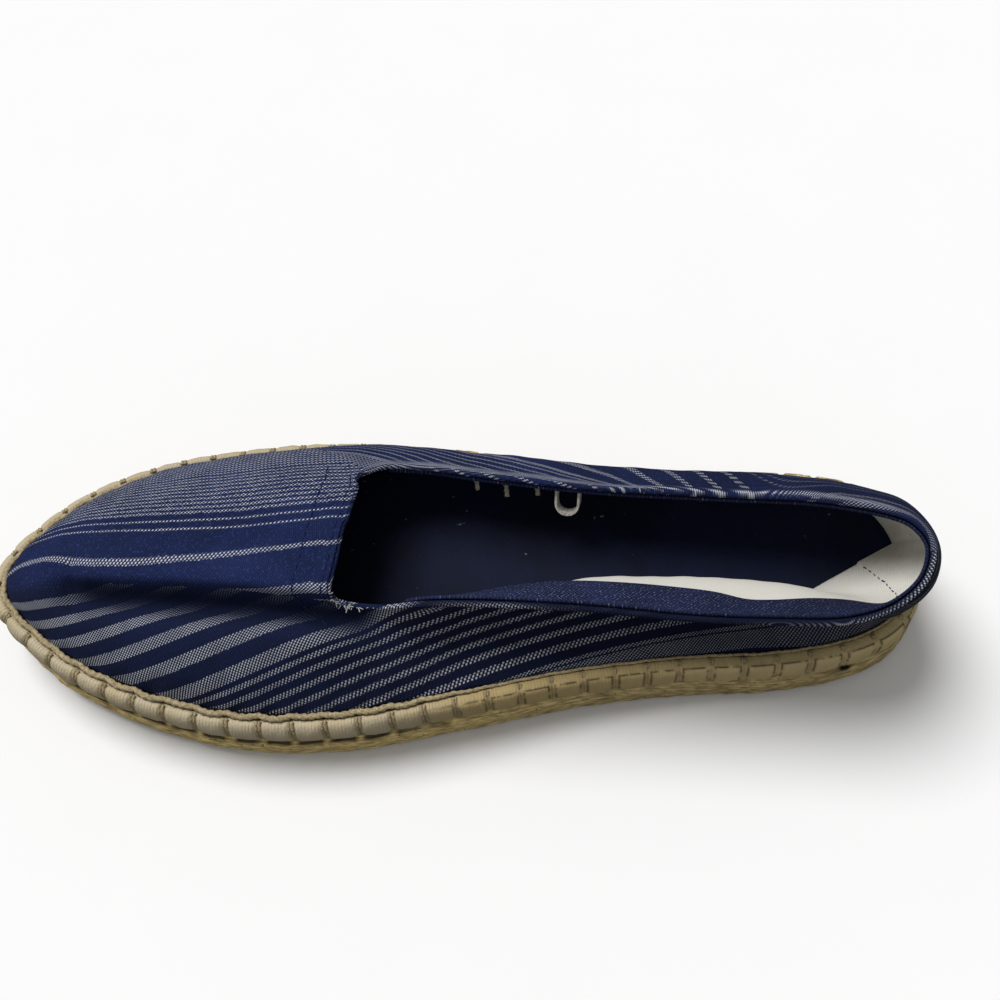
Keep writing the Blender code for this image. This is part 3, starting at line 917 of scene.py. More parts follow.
class TrimSettings(bpy.types.PropertyGroup):
    tape: colour("Tape", "Colour of the topline tape", (0.010, 0.015, 0.055))
    fleck: colour("Flecks", "Colour of the pale flecks of the tape", (0.26, 0.30, 0.46))
    tape_width: length("Tape width", "Width of the topline tape", 0.0108)
    tape_drop: length("Tape drop", "Distance of the tape below the folded edge", 0.0006)
    tape_thickness: length("Tape thickness", "Thickness of the topline tape", 0.0008)
    chevron: length("Chevron", "Width of one band of the herringbone", 0.0018)
    twill_pitch: length("Twill pitch", "Distance between wales of the twill", 0.0011)
    lining: colour("Lining", "Colour of the cotton lining", (0.78, 0.76, 0.69))
    insole: colour("Insole", "Colour of the insole cloth", (0.0035, 0.006, 0.022))
    loop: colour("Loop", "Colour of the pair loop", (0.50, 0.48, 0.42))


class SoleSettings(bpy.types.PropertyGroup):
    jute: colour("Jute", "Colour of the jute", (0.58, 0.455, 0.215))
    soil: colour("Soil", "Colour of the soiled jute", (0.24, 0.175, 0.080))
    rand: colour("Rand", "Colour of the clean rand", (0.61, 0.52, 0.355))
    thread: colour("Thread", "Colour of the jute thread", (0.42, 0.34, 0.20))
    rib_pitch: length("Rib pitch", "Distance between ribs of the rand", 0.00085)
    braid: length("Braid", "Width of one coil of the braid", 0.0062)
    thread_radius: length("Thread radius", "Radius of one strand of a blanket stitch", 0.00048)
    edge_radius: length("Edge thread radius", "Radius of the thread along the feather line", 0.00080)


class StageSettings(bpy.types.PropertyGroup):
    floor: colour("Floor", "Colour of the floor", (0.99, 0.99, 0.99))
    bounce: colour("Bounce", "Colour of the light that the floor sends back", (0.18, 0.18, 0.18))
    key: amount("Key", "Strength of the key sun", 2.45)
    fill: amount("Fill", "Strength of the fill sun", 0.05)
    sky: amount("Sky", "Strength of the even light", 0.28)
    lens: amount("Lens", "Focal length in millimetres", 48.6)


SETTINGS = {
    "espadrille_cloth": ClothSettings,
    "espadrille_trim": TrimSettings,
    "espadrille_sole": SoleSettings,
    "espadrille_stage": StageSettings,
}


# Cloth of the upper

def mark_table(*stripes):
    """Rows of stripe, x, y and z from the marks of each stripe."""
    return np.array([(stripe, *mark) for stripe, marks in stripes for mark in marks])


# Where light stripes cross the outside of the shoe: how far the stripe is from the single stripe of the vamp,
# and points on it, all in millimetres. The lateral marks serve the lateral panel under the fold.
LATERAL_MARKS = mark_table(
    (10.0, ((-113, -8, 30), (-101, -10, 35), (-89, -7, 41), (-83, -7, 42))),
    (18.5, ((-110, -13, 27), (-96, -14, 34), (-78, -12, 42), (-63, -9, 46))),
    (27.0, ((-105, -18, 26), (-92, -18, 33), (-78, -17, 38), (-60, -14, 45), (-48, -12, 48))),
    (35.5, ((-98, -23, 24), (-78, -23, 35), (-53, -18, 44), (-38, -16, 48))),
    (44.0, ((-87, -28, 22), (-52, -25, 40), (-40, -20, 45))),
    (52.5, ((-72, -33, 25), (-55, -32, 33), (-39, -28, 39), (-25, -24, 44), (-14, -22, 47))),
    (59.0, ((-62, -36, 23), (-35, -32, 34), (-8, -23, 39))),
    (65.2, ((-46, -38, 22), (-16, -31, 30), (11, -20, 30))),
    (71.3, ((-25, -38, 22), (-5, -31, 25), (21, -24, 26))),
    (77.4, ((14, -32, 21), (30, -28, 22), (50, -24, 23), (71, -23, 24))),
    (79.4, ((33, -30, 20), (60, -26, 22), (80, -26, 22), (100, -24, 24))),
)
VAMP_MARKS = mark_table(
    (0.0, ((-120, 3, 25), (-119, 2, 26), (-116, 1, 29), (-110, 0, 34), (-96, 1, 39),
            (-76, -2, 44), (-57, -4, 47), (-43, -5, 49), (-29, -4, 50))),
    (10.0, ((-113, -8, 30), (-101, -10, 35))),
    (8.4, ((-51, -12, 47), (-38, -13, 49), (-28, -15, 50))),
    (-9.0, ((-109, 10, 32), (-89, 6, 40), (-77, 5, 43), (-64, 4, 46), (-50, 2, 48),
            (-39, 2, 50), (-26, 3, 51))),
    (-11.6, ((-106, 14, 32), (-92, 10, 39), (-78, 9, 43), (-67, 7, 45), (-50, 5, 48),
            (-41, 4, 49), (-24, 6, 51))),
    (-14.3, ((-67, 10, 44), (-57, 8, 47), (-47, 7, 48), (-34, 8, 50), (-23, 8, 51))),
    (-25.5, ((-87, 23, 35),)),
    (-30.0, ((-70, 24, 38),)),
    (-33.0, ((-53, 25, 41), (-37, 25, 43))),
    (-31.0, ((-23, 23, 44),)),
    (-40.0, ((-92, 29, 27),)),
    (-49.0, ((-60, 37, 25), (-30, 38, 24))),
)

# Stripes of the lateral cloth, in millimetres: the value from which they close up, the one at the feather line
# of the heel and what a millimetre up the cloth takes off it
LATERAL_LIMIT = 76.0
REAR_STRIPE = 82.8
REAR_SLOPE = 0.7

# Stripes of the medial quarter, in millimetres: the value at the waist, what a millimetre up the cloth adds,
# the height of that value, how fast the stripes climb to the heel and where they level out
QUARTER_STRIPE = -90.0
QUARTER_SLOPE = 1.2
QUARTER_HEIGHT = 8.3
QUARTER_CLIMB = 0.42
QUARTER_LEVEL = 70.0

# Fan of stripes on the medial quarter, in millimetres: its value at the middle of the shoe, the height of the
# rim, the sideways run for each millimetre down at the back, how much more of it at the start, where that is on
# the rim and over what length it fades
FAN_STRIPE = -46.0
FAN_HEIGHT = 32.0
FAN_STEEP = 0.26
FAN_LEAN = 1.3
FAN_START = 45.0
FAN_FADE = 7.0

# The same behind the fan: the value at a place and a height, and how fast it falls to the heel
BEHIND_STRIPE = -136.6
BEHIND_PLACE = 80.0
BEHIND_HEIGHT = 22.0
BEHIND_CLIMB = 0.2


def cloth_uv(turns, heights):
    """Cloth coordinates from the place along the feather line and the height up the piece."""
    return np.stack((np.broadcast_to(girth(turns), heights.shape), heights), axis=-1)


def mark_fit(marks, count):
    """Smooth function of place that gives the cloth's stripe coordinate in millimetres, fitted to marks."""
    def terms(x, y, z):
        x, y, z = x / 100, y / 30, (z - 35) / 15
        every = (np.ones_like(x), x, y, z, x * y, x * z, y * z, x * x, y * y, z * z)
        every += (x**3, x * x * y, x * x * z)
        return np.stack(every[:count], axis=-1)
    factors = np.linalg.lstsq(terms(*marks[:, 1:].T), marks[:, 0], rcond=None)[0]
    return lambda points: terms(*(1000 * points[..., n] for n in range(3))) @ factors


def vamp_stripes(points):
    """Stripe coordinate of the vamp in millimetres; its medial edge turns down to the feather line."""
    y, z = 1000 * points[..., 1], 1000 * points[..., 2]
    edge = 0.9 * np.maximum(y - 31, 0) + 0.5 * np.maximum(30 - z, 0) * smooth_step((y - 28) / 6)
    return mark_fit(VAMP_MARKS, 13)(points) - edge


def lateral_stripes(points, x, height):
    """Stripe coordinate of the lateral cloth in millimetres, parallel to the feather line towards the heel."""
    stripe = mark_fit(LATERAL_MARKS, 10)(points)
    stripe = np.maximum(stripe, LATERAL_LIMIT + 2 * (stripe - LATERAL_LIMIT))
    rear = REAR_STRIPE - REAR_SLOPE * (height - 0.6 - 3.2 * smooth_step((x - 40) / 60))
    return stripe + smooth_step((x - 76) / 26) * (rear - stripe)


def rim_place(x, height):
    """Place on the rim, in millimetres, where the medial stripe through a point ends; the stripes fan out."""
    below = np.maximum(FAN_HEIGHT - height, 0)
    x = np.maximum(x, 0)
    rim = x
    for _ in range(14):
        lean = FAN_LEAN * np.exp((FAN_START - rim) / FAN_FADE)
        rim = rim - (rim - below * (FAN_STEEP + lean) - x) / (1 + below * lean / FAN_FADE)
    return rim


def quarter_stripes(x, height):
    """Stripe coordinate of the medial quarter in millimetres: along the rim, fanned, and along it again."""
    past = 16 * (1 - np.exp(-np.maximum(x - QUARTER_LEVEL, 0) / 16))
    limited = np.where(x < QUARTER_LEVEL, x, QUARTER_LEVEL + past)
    stripe = QUARTER_STRIPE + QUARTER_SLOPE * (height - QUARTER_HEIGHT - QUARTER_CLIMB * limited)
    rim = rim_place(x, height)
    stripe += smooth_step((rim - 34) / 22) * (FAN_STRIPE - rim - stripe)
    behind = BEHIND_STRIPE + QUARTER_SLOPE * (height - BEHIND_HEIGHT) - BEHIND_CLIMB * (limited - BEHIND_PLACE)
    return stripe + smooth_step((x - 78) / 25) * (behind - stripe)


def canvas_uv(points, turns, heights):
    """Cloth coordinates of every quad corner of the canvas, in metres; the points lie as without the fold."""
    x, z = 1000 * points[..., 0], 1000 * points[..., 2]
    height = 1000 * heights
    lateral = lateral_stripes(points, x, height)
    vamp = vamp_stripes(points)
    quarter = quarter_stripes(x, height)
    along = 0.92 * x + 0.42 * z
    behind = np.abs(1000 * girth(turns)) - 138
    along = along + smooth_step((x - 50) / 35) * (behind + 10 - along) * (np.abs(turns) > 0.5)
    reach, side, _ = fold_frame(plan_on_last(points))
    turn = np.broadcast_to(turns, heights.shape)
    start = smooth_step(1 - reach / 0.20)
    share = smooth_step(0.5 - (1000 * side + 3.0 * start) / (0.4 + 6 * start)) * (turn > -0.10)
    lateral = np.where(reach < 0.20, vamp + share * (lateral - vamp), lateral)
    vamp = np.where(reach < 0.20, lateral, vamp)
    on_lateral = (turn > 0.30) | ((side < 0.0003) & (reach < 1.15) & (turn > -0.02))

    def corners(values):
        return quad_corners(np.hstack((values, values[:, :1])))

    choice = corners(np.where(turn < -0.375, 2.0, np.where(on_lateral, 1.0, 0.0)))[..., :1]
    across = np.where(choice == 2, corners(quarter), np.where(choice == 1, corners(lateral), corners(vamp)))
    return np.stack((corners(along), across), axis=-1).reshape(-1, 2) / 1000


# The short dent behind the toe, by X, and the soft crease beside the fold, by Y
DENT_PLACE = -0.1005
DENT_DEPTH = 0.0013
CREASE_PLACE = -0.0205
CREASE_DEPTH = 0.0005

# Widths of the plain band and of the warp line at the folded edge
EDGE_BAND = 0.0034
EDGE_LINE = 0.0009


def worn_canvas(turns, rows, cloth):
    """Outer face of the canvas with its gathers and wrinkles, and its heights up the cloth."""
    points = upper_surface(turns, rows)
    normals = grid_normals(points)
    heights = heights_up(points)
    gather = cloth.gather * np.cos(2 * math.pi * girth(turns) / STITCH_PITCH + 0.6)
    offset = gather * np.exp(-heights / 0.0045) * smooth_step(heights / 0.0012)
    free = smooth_step(heights / 0.008) * smooth_step((heights[-1] - heights) / 0.004)
    offset += cloth.wrinkle * ripple(points, 5, 0.030) * free
    x, y = points[..., 0], points[..., 1]
    dent = hump(x, DENT_PLACE, 0.0016) * span(y, -0.0125, 0.003, -0.0010, 0.003)
    crease = hump(y + 0.17 * (x + 0.03), CREASE_PLACE, 0.0020) * span(x, -0.085, 0.03, -0.02, 0.02)
    offset -= (DENT_DEPTH * dent + CREASE_DEPTH * crease) * free
    return points + normals * offset[..., None], heights


def canvas_rows(count):
    """Row numbers of the fine mesh, closer together at the hem."""
    return np.unique(np.concatenate((np.linspace(0, 14, count), np.linspace(12, 13, 5))))


class EspadrilleCanvas(bpy.types.Operator):
    """Build the striped canvas with its turned edge"""

    bl_idname = "espadrille.canvas"
    bl_label = "Canvas"

    def execute(self, context):
        cloth = context.scene.espadrille_cloth
        turns = even_turns(cloth.columns)
        outer, heights = worn_canvas(turns, canvas_rows(cloth.rows), cloth)
        edge = self.turned_edge(outer)
        skirt = ring(turns, -0.0002, SOLE_SIDE + CLEARANCE)
        points = np.concatenate((skirt[None], outer, edge))
        extra = heights[-1] + 0.0004 * np.arange(1, len(edge) + 1)[:, None]
        all_heights = np.concatenate((heights[:1] - 0.009, heights, extra))
        unfolded = upper_surface(turns, canvas_rows(cloth.rows), 0.0)
        unfolded = np.concatenate((skirt[None], unfolded, edge + unfolded[-1] - outer[-1]))
        corner_uv = canvas_uv(unfolded, turns, all_heights)
        mesh = grid_mesh("canvas_upper", points, closed=True, corner_uv=corner_uv)
        add_mask(mesh, "fold_line", self.fold_line(turns, all_heights, heights[-1]))
        self.add_shade_masks(mesh, turns, unfolded, all_heights - heights[-1])
        new_piece("canvas_upper", mesh, canvas_material(cloth), ["upper"])
        return {"FINISHED"}

    def turned_edge(self, outer):
        """Rows of the edge, turned round half the wall and down inside; the outer face's last row drops."""
        normals = grid_normals(outer)[-1]
        up = unit(outer[-1] - outer[-3])
        radius = UPPER_WALL / 2
        outer[-1] -= up * radius * 0.6
        middle = outer[-1] - normals * radius
        angles = np.linspace(0, math.pi, 7)[1:]
        edge = [middle + radius * (math.cos(angle) * normals + math.sin(angle) * up) for angle in angles]
        edge += [middle - radius * normals - up * depth for depth in (0.0008, 0.0020, 0.0040)]
        return np.array(edge)

    def add_shade_masks(self, mesh, turns, unfolded, above_edge):
        """Masks of the plain band at the edge and of the painted shade in the fold's trough, and of the painted
        shade on the lateral cloth.
        """
        band = smooth_step((EDGE_BAND + above_edge) / 0.0010) * smooth_step((turns - 0.44) / 0.04)
        reach, side, _ = fold_frame(plan_on_last(unfolded))
        # Painted shade in the fold's trough.
        trough = hump(side, -0.0030, 0.0042) * span(reach, 0.0, 0.25, 1.05, 0.1)
        trough = 0.95 * trough * (turns > -0.02) * (side < 0.0003)
        add_mask(mesh, "plain_band_and_trough_shade", np.maximum(0.9 * band, trough))
        # Painted shade on the lateral cloth and below the fold.
        below_fold = smooth_step(-side / 0.003) * (turns > -0.02) * (1 - smooth_step((reach - 1.05) / 0.1))
        lateral = np.maximum(below_fold, smooth_step((turns - 0.27) / 0.06))
        add_mask(mesh, "lateral_shade", lateral * self.lateral_shade_share(unfolded))

    def lateral_shade_share(self, points):
        """How much painted shade the lateral cloth gets, less at the ball than at the waist."""
        return 0.70 + 0.30 * smooth_step((points[..., 0] + 0.05) / 0.07)

    def fold_line(self, turns, heights, top):
        """Broken white line of warp that shows along the folded edge."""
        around = girth(turns)
        drift = 0.0005 * np.sin(around * 70) + 0.0003 * np.sin(around * 190 + 1)
        medial = smooth_step((-turns - 0.36) / 0.05)
        centre = 0.0013 * medial - 0.0006 * (1 - medial) + drift * (0.2 + 0.8 * medial)
        width = EDGE_LINE + medial * (0.0003 + 0.0004 * np.sin(around * 45))
        line = hump(top - heights, centre, width)
        lateral = hump(turns, 0.535, 0.04) + hump(turns, 0.80, 0.075) + hump(turns, 0.97, 0.09)
        shown = np.maximum(medial, lateral)
        broken = 0.5 + 0.5 * np.sin(around * 2 * math.pi / 0.031 + 2 * np.sin(around * 90))
        return np.clip(1.3 * line * np.minimum(shown, 1) * (0.75 + 0.5 * broken), 0, 1)


def inner_surface(turns, rows, gap):
    """Inner face of the wall at a distance from its outer face."""
    points = upper_surface(turns, rows)
    return points - grid_normals(points) * gap


def seam_turn(share):
    """Turn of the lining's seam at a share of the wall's height."""
    return 0.937 - 0.060 * share


class EspadrilleLining(bpy.types.Operator):
    """Build the cotton lining, which hangs loose at the heel"""

    bl_idname = "espadrille.lining"
    bl_label = "Lining"

    def execute(self, context):
        cloth, trim = context.scene.espadrille_cloth, context.scene.espadrille_trim
        turns = even_turns(cloth.columns)
        rows = np.linspace(0, 13.75, 60)
        points = inner_surface(turns, rows, UPPER_WALL - 0.0002)
        heights = heights_up(points)
        share = heights / heights[-1]
        round_heel = np.where(turns < -0.5, turns + 2, turns)
        past_seam = smooth_step((round_heel - seam_turn(share)) / 0.006) * (round_heel < 1.2)
        slack = 0.0006 * past_seam * (1 - share)
        slack = slack + (0.00045 * (1 + ripple(points, 9, 0.022))) * np.sin(math.pi * share)
        inward = -outward_3d(turns)
        foot = ring(turns, LINING_FOOT, SOLE_BED + CLEARANCE)
        loose = self.loose_foot(turns, foot) - foot
        points = points + inward[None] * slack[..., None]
        points = points + loose[None] * (np.clip(1 - share / 0.84, 0, 1) ** 1.8)[..., None]
        points = np.concatenate(((foot + loose)[None], points))
        uv = cloth_uv(turns, heights_up(points))[::-1]
        mesh = grid_mesh("cotton_lining", points[::-1], uv, closed=True, period=WHOLE_GIRTH)
        covered = 1 - smooth_step((np.abs(turns) - 0.40) / 0.03)
        add_mask(mesh, "under_vamp", np.broadcast_to(covered, points.shape[:2]))
        material = cotton_material("lining_cotton", trim.lining, 0.00045)
        new_piece("cotton_lining", mesh, material)
        return {"FINISHED"}

    def loose_foot(self, turns, foot):
        """Foot of the lining, straight between the two turns where it has come away from the wall."""
        around = np.where(turns < -0.5, girth(turns) + WHOLE_GIRTH, girth(turns))
        start = girth(LOOSE_START)
        share = (around - start) / (girth(LOOSE_END - 2) + WHOLE_GIRTH - start)
        first, last = ring(np.array((LOOSE_START, LOOSE_END - 2)), LINING_FOOT, foot[0, 2])
        straight = first + (last - first) * share[:, None]
        return np.where(((share > 0) & (share < 1))[:, None], straight, foot)


def band_on_wall(turns, gap, start, widths, steps):
    """Strip of the wall's inner face: rows from a drop below the free edge down over a width at each turn."""
    points = inner_surface(turns, np.linspace(0, 14, 90), gap)[::-1]
    depth = heights_up(points)
    rows = []
    for share in np.linspace(0, 1, steps):
        wanted = start + share * widths
        rows.append([points_at(wanted[n], depth[:, n], points[:, n]) for n in range(len(turns))])
    return np.array(rows)


class EspadrilleTape(bpy.types.Operator):
    """Build the herringbone tape inside the collar"""

    bl_idname = "espadrille.tape"
    bl_label = "Topline tape"

    def execute(self, context):
        trim = context.scene.espadrille_trim
        turns = np.linspace(TAPE_START, TAPE_END, 420)
        around = wrap_turn(turns)
        widths = smooth_column(TAPE_WIDTHS, 1, turns) * (1 + 0.015 * np.sin(girth(around) * 130))
        rows = self.rows_for(around, trim, trim.tape_width * widths)
        along = np.broadcast_to(running_lengths(rows[0]), rows.shape[:2])
        uv = np.stack((along, heights_up(rows)), axis=-1)
        mesh = grid_mesh("herringbone_tape", rows, uv)
        piece = new_piece("herringbone_tape", mesh, tape_material(trim), ["topline_tape"])
        wall = piece.modifiers.new("wall", "SOLIDIFY")
        wall.thickness = trim.tape_thickness
        wall.offset = 1.0
        return {"FINISHED"}

    def rows_for(self, turns, trim, widths):
        """Rows of the tape, worked out on the whole ring so that its normals are right."""
        ring_turns = even_turns(600)
        order = np.argsort(turns)
        full = np.interp(ring_turns, turns[order], widths[order])
        band = band_on_wall(ring_turns, UPPER_WALL + 0.0004, trim.tape_drop, full, 14)
        wrapped = np.concatenate((ring_turns, ring_turns[:1] + 2))
        rows = np.hstack((band, band[:, :1]))
        asked = np.where(turns < wrapped[0], turns + 2, turns)
        return np.stack([points_at(asked, wrapped, row) for row in rows])


class EspadrilleInsole(bpy.types.Operator):
    """Give the insole its cloth"""

    bl_idname = "espadrille.insole"
    bl_label = "Insole"

    def execute(self, context):
        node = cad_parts["insole"]
        material = insole_material(context.scene.espadrille_trim)
        for slot in node.material_slots:
            slot.material = material
        return {"FINISHED"}


# Rand, stitches and sole

def stitch_turns():
    """Number of the blanket stitches, and a function that gives the turn of a stitch or of a point between."""
    dense = np.linspace(-1, 1, 1441)
    lengths = running_lengths(last_point(dense))
    count = round(lengths[-1] / STITCH_PITCH)
    return count, lambda share: np.interp(share * lengths[-1] / count, lengths, dense)


def between_stitches(count, steps, turn_of):
    """Turns of points round the roll, their places between two stitches, 0 to 1, and the stitches' numbers."""
    share = np.arange(count * steps) / steps
    return turn_of(share), share % 1.0, share.astype(int)


def pressed_at(turns):
    """How far the rand is pressed flat: not round the toe, fully from the waist to the heel."""
    return smooth_step((np.abs(turns) - 0.44) / 0.10)


# Course of a blanket stitch over the roll, in millimetres out from the feather line and up from the shelf
STITCH_COURSE = (
    # out, up
    (0.4, 9.9),
    (1.1, 10.3),
    (2.1, 10.25),
    (3.2, 9.4),
    (4.0, 8.0),
    (4.25, 6.2),
    (4.3, 4.4),
    (4.2, 2.6),
    (3.9, 1.2),
    (3.0, 0.1),
    (2.2, -0.3),
)


class EspadrilleRand(bpy.types.Operator):
    """Build the ribbed rand roll with its stitches and edge thread"""

    bl_idname = "espadrille.rand"
    bl_label = "Rand and stitches"

    def execute(self, context):
        sole = context.scene.espadrille_sole
        count, turn_of = stitch_turns()
        self.build_roll(sole, count, turn_of)
        thread = thread_material("jute_thread", sole.thread)
        self.build_stitches(sole, count, turn_of, thread)
        self.build_edge_thread(sole, count, turn_of, thread)
        return {"FINISHED"}

    def build_roll(self, sole, count, turn_of):
        turns, between, number = between_stitches(count, 18, turn_of)
        near = np.minimum(between, 1 - between)
        random = np.random.default_rng(3)
        puff = 1 + 0.25 * random.uniform(-1, 1, count)[number]
        pinch = 0.0012 * np.exp(-((near / 0.085) ** 2)) * (1 - 0.45 * pressed_at(turns))
        crown = 0.00035 * np.sin(math.pi * between) * puff * (1 - pressed_at(turns))
        width = SOLE_EDGE - CLEARANCE
        angles = np.linspace(0, 2 * math.pi, 32, endpoint=False)
        square = 1 - 0.42 * pressed_at(turns)
        grid = []
        for angle in angles:
            ways = (-math.cos(angle), math.sin(angle))
            out_share, up_share = (np.sign(way) * abs(way) ** square for way in ways)
            outer = CLEARANCE + (width - pinch + crown) * (1 + out_share) / 2
            height = SOLE_SIDE + CLEARANCE + pinch / 2 + (ROLL_HEIGHT - pinch) * (1 + up_share) / 2
            grid.append(ring(turns, outer, height))
        grid = np.array(grid)
        wobble = ripple(grid, 11, 0.006, 2) * 0.00012
        grid += grid_normals(grid) * -wobble[..., None]
        section = np.broadcast_to(angles[:, None] * 0.0022, grid.shape[:2])
        uv = cloth_uv(turns, section)
        mesh = grid_mesh("rand_cloth", grid, uv, closed=True, closed_rows=True, period=WHOLE_GIRTH)
        pressed = np.broadcast_to(pressed_at(turns), section.shape)
        add_mask(mesh, "pressed", pressed)
        # Mask of painted shade: dark lines in the creases of the pressed rand, and in the gaps beside each
        # stitch.
        top_line = hump(angles, 1.95, 0.13)[:, None] * (near > 0.10)
        side_line = hump(near, 0.12, 0.03)[None] * ((angles > 1.85) & (angles < 3.6))[:, None]
        crease = np.maximum(top_line * np.ones_like(pressed), side_line) * pressed
        stitch_gap_shade = 0.35 * np.exp(-((near / 0.05) ** 2))[None] * np.ones_like(pressed)
        add_mask(mesh, "crease", np.maximum(crease, stitch_gap_shade))
        new_piece("rand_cloth", mesh, rand_material(sole), ["rand_roll"])

    def build_stitches(self, sole, count, turn_of, material):
        """Two strands over the roll at every stitch, from the feather line to the underside of the roll."""
        middle = ROLL_HEIGHT / 2
        path = np.array([(0.0, up / 1000 - middle, out / 1000) for out, up in STITCH_COURSE])
        fine = np.linspace(0, 1, 26)
        path = points_at(fine, np.linspace(0, 1, len(path)), path)
        path[1:-1] = (path[:-2] + 2 * path[1:-1] + path[2:]) / 4
        turns = turn_of(np.arange(count))
        tangent = ring(wrap_turn(turns + 0.003), 0.0, 0.0) - ring(wrap_turn(turns - 0.003), 0.0, 0.0)
        tangent = unit(tangent) * (1, 1, 0)
        for name, chosen, radius, sink in (
            ("blanket_stitches", pressed_at(turns) < 0.5, sole.thread_radius, 0.0),
            ("pressed_stitches", pressed_at(turns) >= 0.5, 0.7 * sole.thread_radius, 0.00035),
        ):
            strands = []
            for side in (-1, 1):
                lean = path.copy()
                lean[:, 0] += side * (0.9 * radius + 0.0003 * (1 - fine) ** 2)
                lean[:, 2] -= sink
                strands.append(tube_mesh("strand", lean, radius, 8, 2, 0.0032))
            centre = ring(turns[chosen], 0.0, SOLE_SIDE + CLEARANCE + middle)
            arguments = (centre, outward_3d(turns)[chosen], -tangent[chosen], material, (0.98, 1.03), 0.07, 4)
            new_piece(name, copies_mesh(name, join_meshes("stitch", strands), *arguments), material)

    def build_edge_thread(self, sole, count, turn_of, material):
        """Thread along the feather line, bowed out between the stitches."""
        turns, between, number = between_stitches(count, 12, turn_of)
        random = np.random.default_rng(8)
        bow = np.sin(math.pi * between) * random.uniform(0.4, 1.4, count)[number]
        flat = pressed_at(turns)
        height = FEATHER_HEIGHT + 0.0001 + 0.00025 * bow - 0.0004 * flat
        path = ring(turns, 0.0006 + 0.0007 * bow * (1 - 0.6 * flat), height)
        mesh = tube_mesh("edge_thread", path, sole.edge_radius * (1 - 0.5 * flat), 10, 2, 0.0042, closed=True)
        new_piece("edge_thread", mesh, material)


# X and Z of the dark nick in the side of the sole
NICK_PLACE = (0.1043, 0.0100)


class EspadrilleSole(bpy.types.Operator):
    """Build the pressed jute sole"""

    bl_idname = "espadrille.sole"
    bl_label = "Jute sole"

    def execute(self, context):
        sole = context.scene.espadrille_sole
        turns = even_turns(520)
        side = np.array([ring(turns, offset, height) for offset, height in self.side_profile()])
        rough = ripple(side, 21, 0.012, 4) * 0.00030 + ripple(side, 22, 0.0035, 2) * 0.00012
        braid = 0.00022 * np.sin(side[..., 2] * 2 * math.pi / 0.0056)
        number = np.arange(len(side))
        free = smooth_step(number / 3.0) * smooth_step((len(side) - 3 - number) / 2.0)
        side += outward_3d(turns)[None] * ((rough + braid) * free[:, None])[..., None]
        bottom = self.bottom_rows(turns, side[0], sole)
        points = np.concatenate((bottom[::-1], side))
        across = heights_up(points)
        uv = cloth_uv(turns, across - across[len(bottom) - 1] + sole.braid * 0.5)
        mesh = grid_mesh("jute_sole", points, uv, closed=True, period=WHOLE_GIRTH)
        add_mask(mesh, "nick_and_gap_shade", self.nick_and_gap_shade(turns, points))
        new_piece("jute_sole", mesh, jute_material(sole), ["sole"])
        return {"FINISHED"}

    def nick_and_gap_shade(self, turns, points):
        """Mask of the dark nick at the heel and of the painted shadow in the slits under the front of the rand.
        """
        x, y, z = (points[..., n] for n in range(3))
        mark = hump(x, NICK_PLACE[0], 0.0016) * hump(z, NICK_PLACE[1], 0.0009) * (y < 0)
        # Painted shadow in the gaps under the rand, between the stitches.
        near = np.abs((girth(turns) / STITCH_PITCH) % 1.0 - 0.5)
        slit = hump(z - spring(x + LAST_LENGTH / 2), SOLE_SIDE - 0.0012, 0.0009)
        slit = slit * (1 - pressed_at(turns)) * smooth_step((0.42 - near) / 0.08)
        return np.clip(np.maximum(2.2 * mark, 1.1 * slit), 0, 1)

    def side_profile(self):
        """Offset and height of each ring of the side, the shelf, the riser and the bed."""
        shares = np.linspace(0, 1, 15)
        inset = np.interp(shares, (0.0, 0.16, 0.45, 0.82, 1.0), (0.9, 0.22, 0.0, 0.12, 0.5))
        side = list(zip(SOLE_EDGE - inset * SOLE_ROUNDING, shares * SOLE_SIDE))
        riser = -UPPER_WALL - CLEARANCE
        return side + [(0.0, SOLE_SIDE), (riser, SOLE_SIDE), (riser, SOLE_BED), (-0.012, SOLE_BED)]

    def bottom_rows(self, turns, edge, sole):
        """Rows from just inside the edge to the middle line, with grooves between the coils."""
        x, y = last_point(turns).T
        other = y[::-1][np.arange(len(turns)) - 1]
        spine = np.stack((x * 0.80 + LAST_LENGTH * 0.10, (y + other) / 2), axis=-1)
        centre = place(spine, np.zeros(len(turns)))
        rows = []
        for share in np.linspace(0, 1, 40)[1:]:
            row = edge * (1 - share) + centre * share
            distance = np.linalg.norm(row - edge, axis=-1)
            groove = (0.5 - 0.5 * np.cos(distance * 2 * math.pi / sole.braid)) ** 3
            row[:, 2] += 0.0006 * groove * (share < 1)
            rows.append(row)
        return np.array(rows)


# Small trim

def dash_mesh(size, radius):
    """Short thread lying along X, its ends going down into the cloth."""
    share = np.linspace(-1, 1, 9)
    path = np.stack((share * size / 2, 0 * share, radius * (0.9 - 1.8 * share**4)), axis=-1)
    return tube_mesh("dash", path, radius, 6)


def spaced(path, normals, step):
    """Places at even steps along a path, with their normals and courses."""
    lengths = running_lengths(path)
    at = np.arange(0.001, lengths[-1], step)
    spots = points_at(at, lengths, path)
    return spots, unit(points_at(at, lengths, normals)), unit(np.gradient(spots, axis=0))


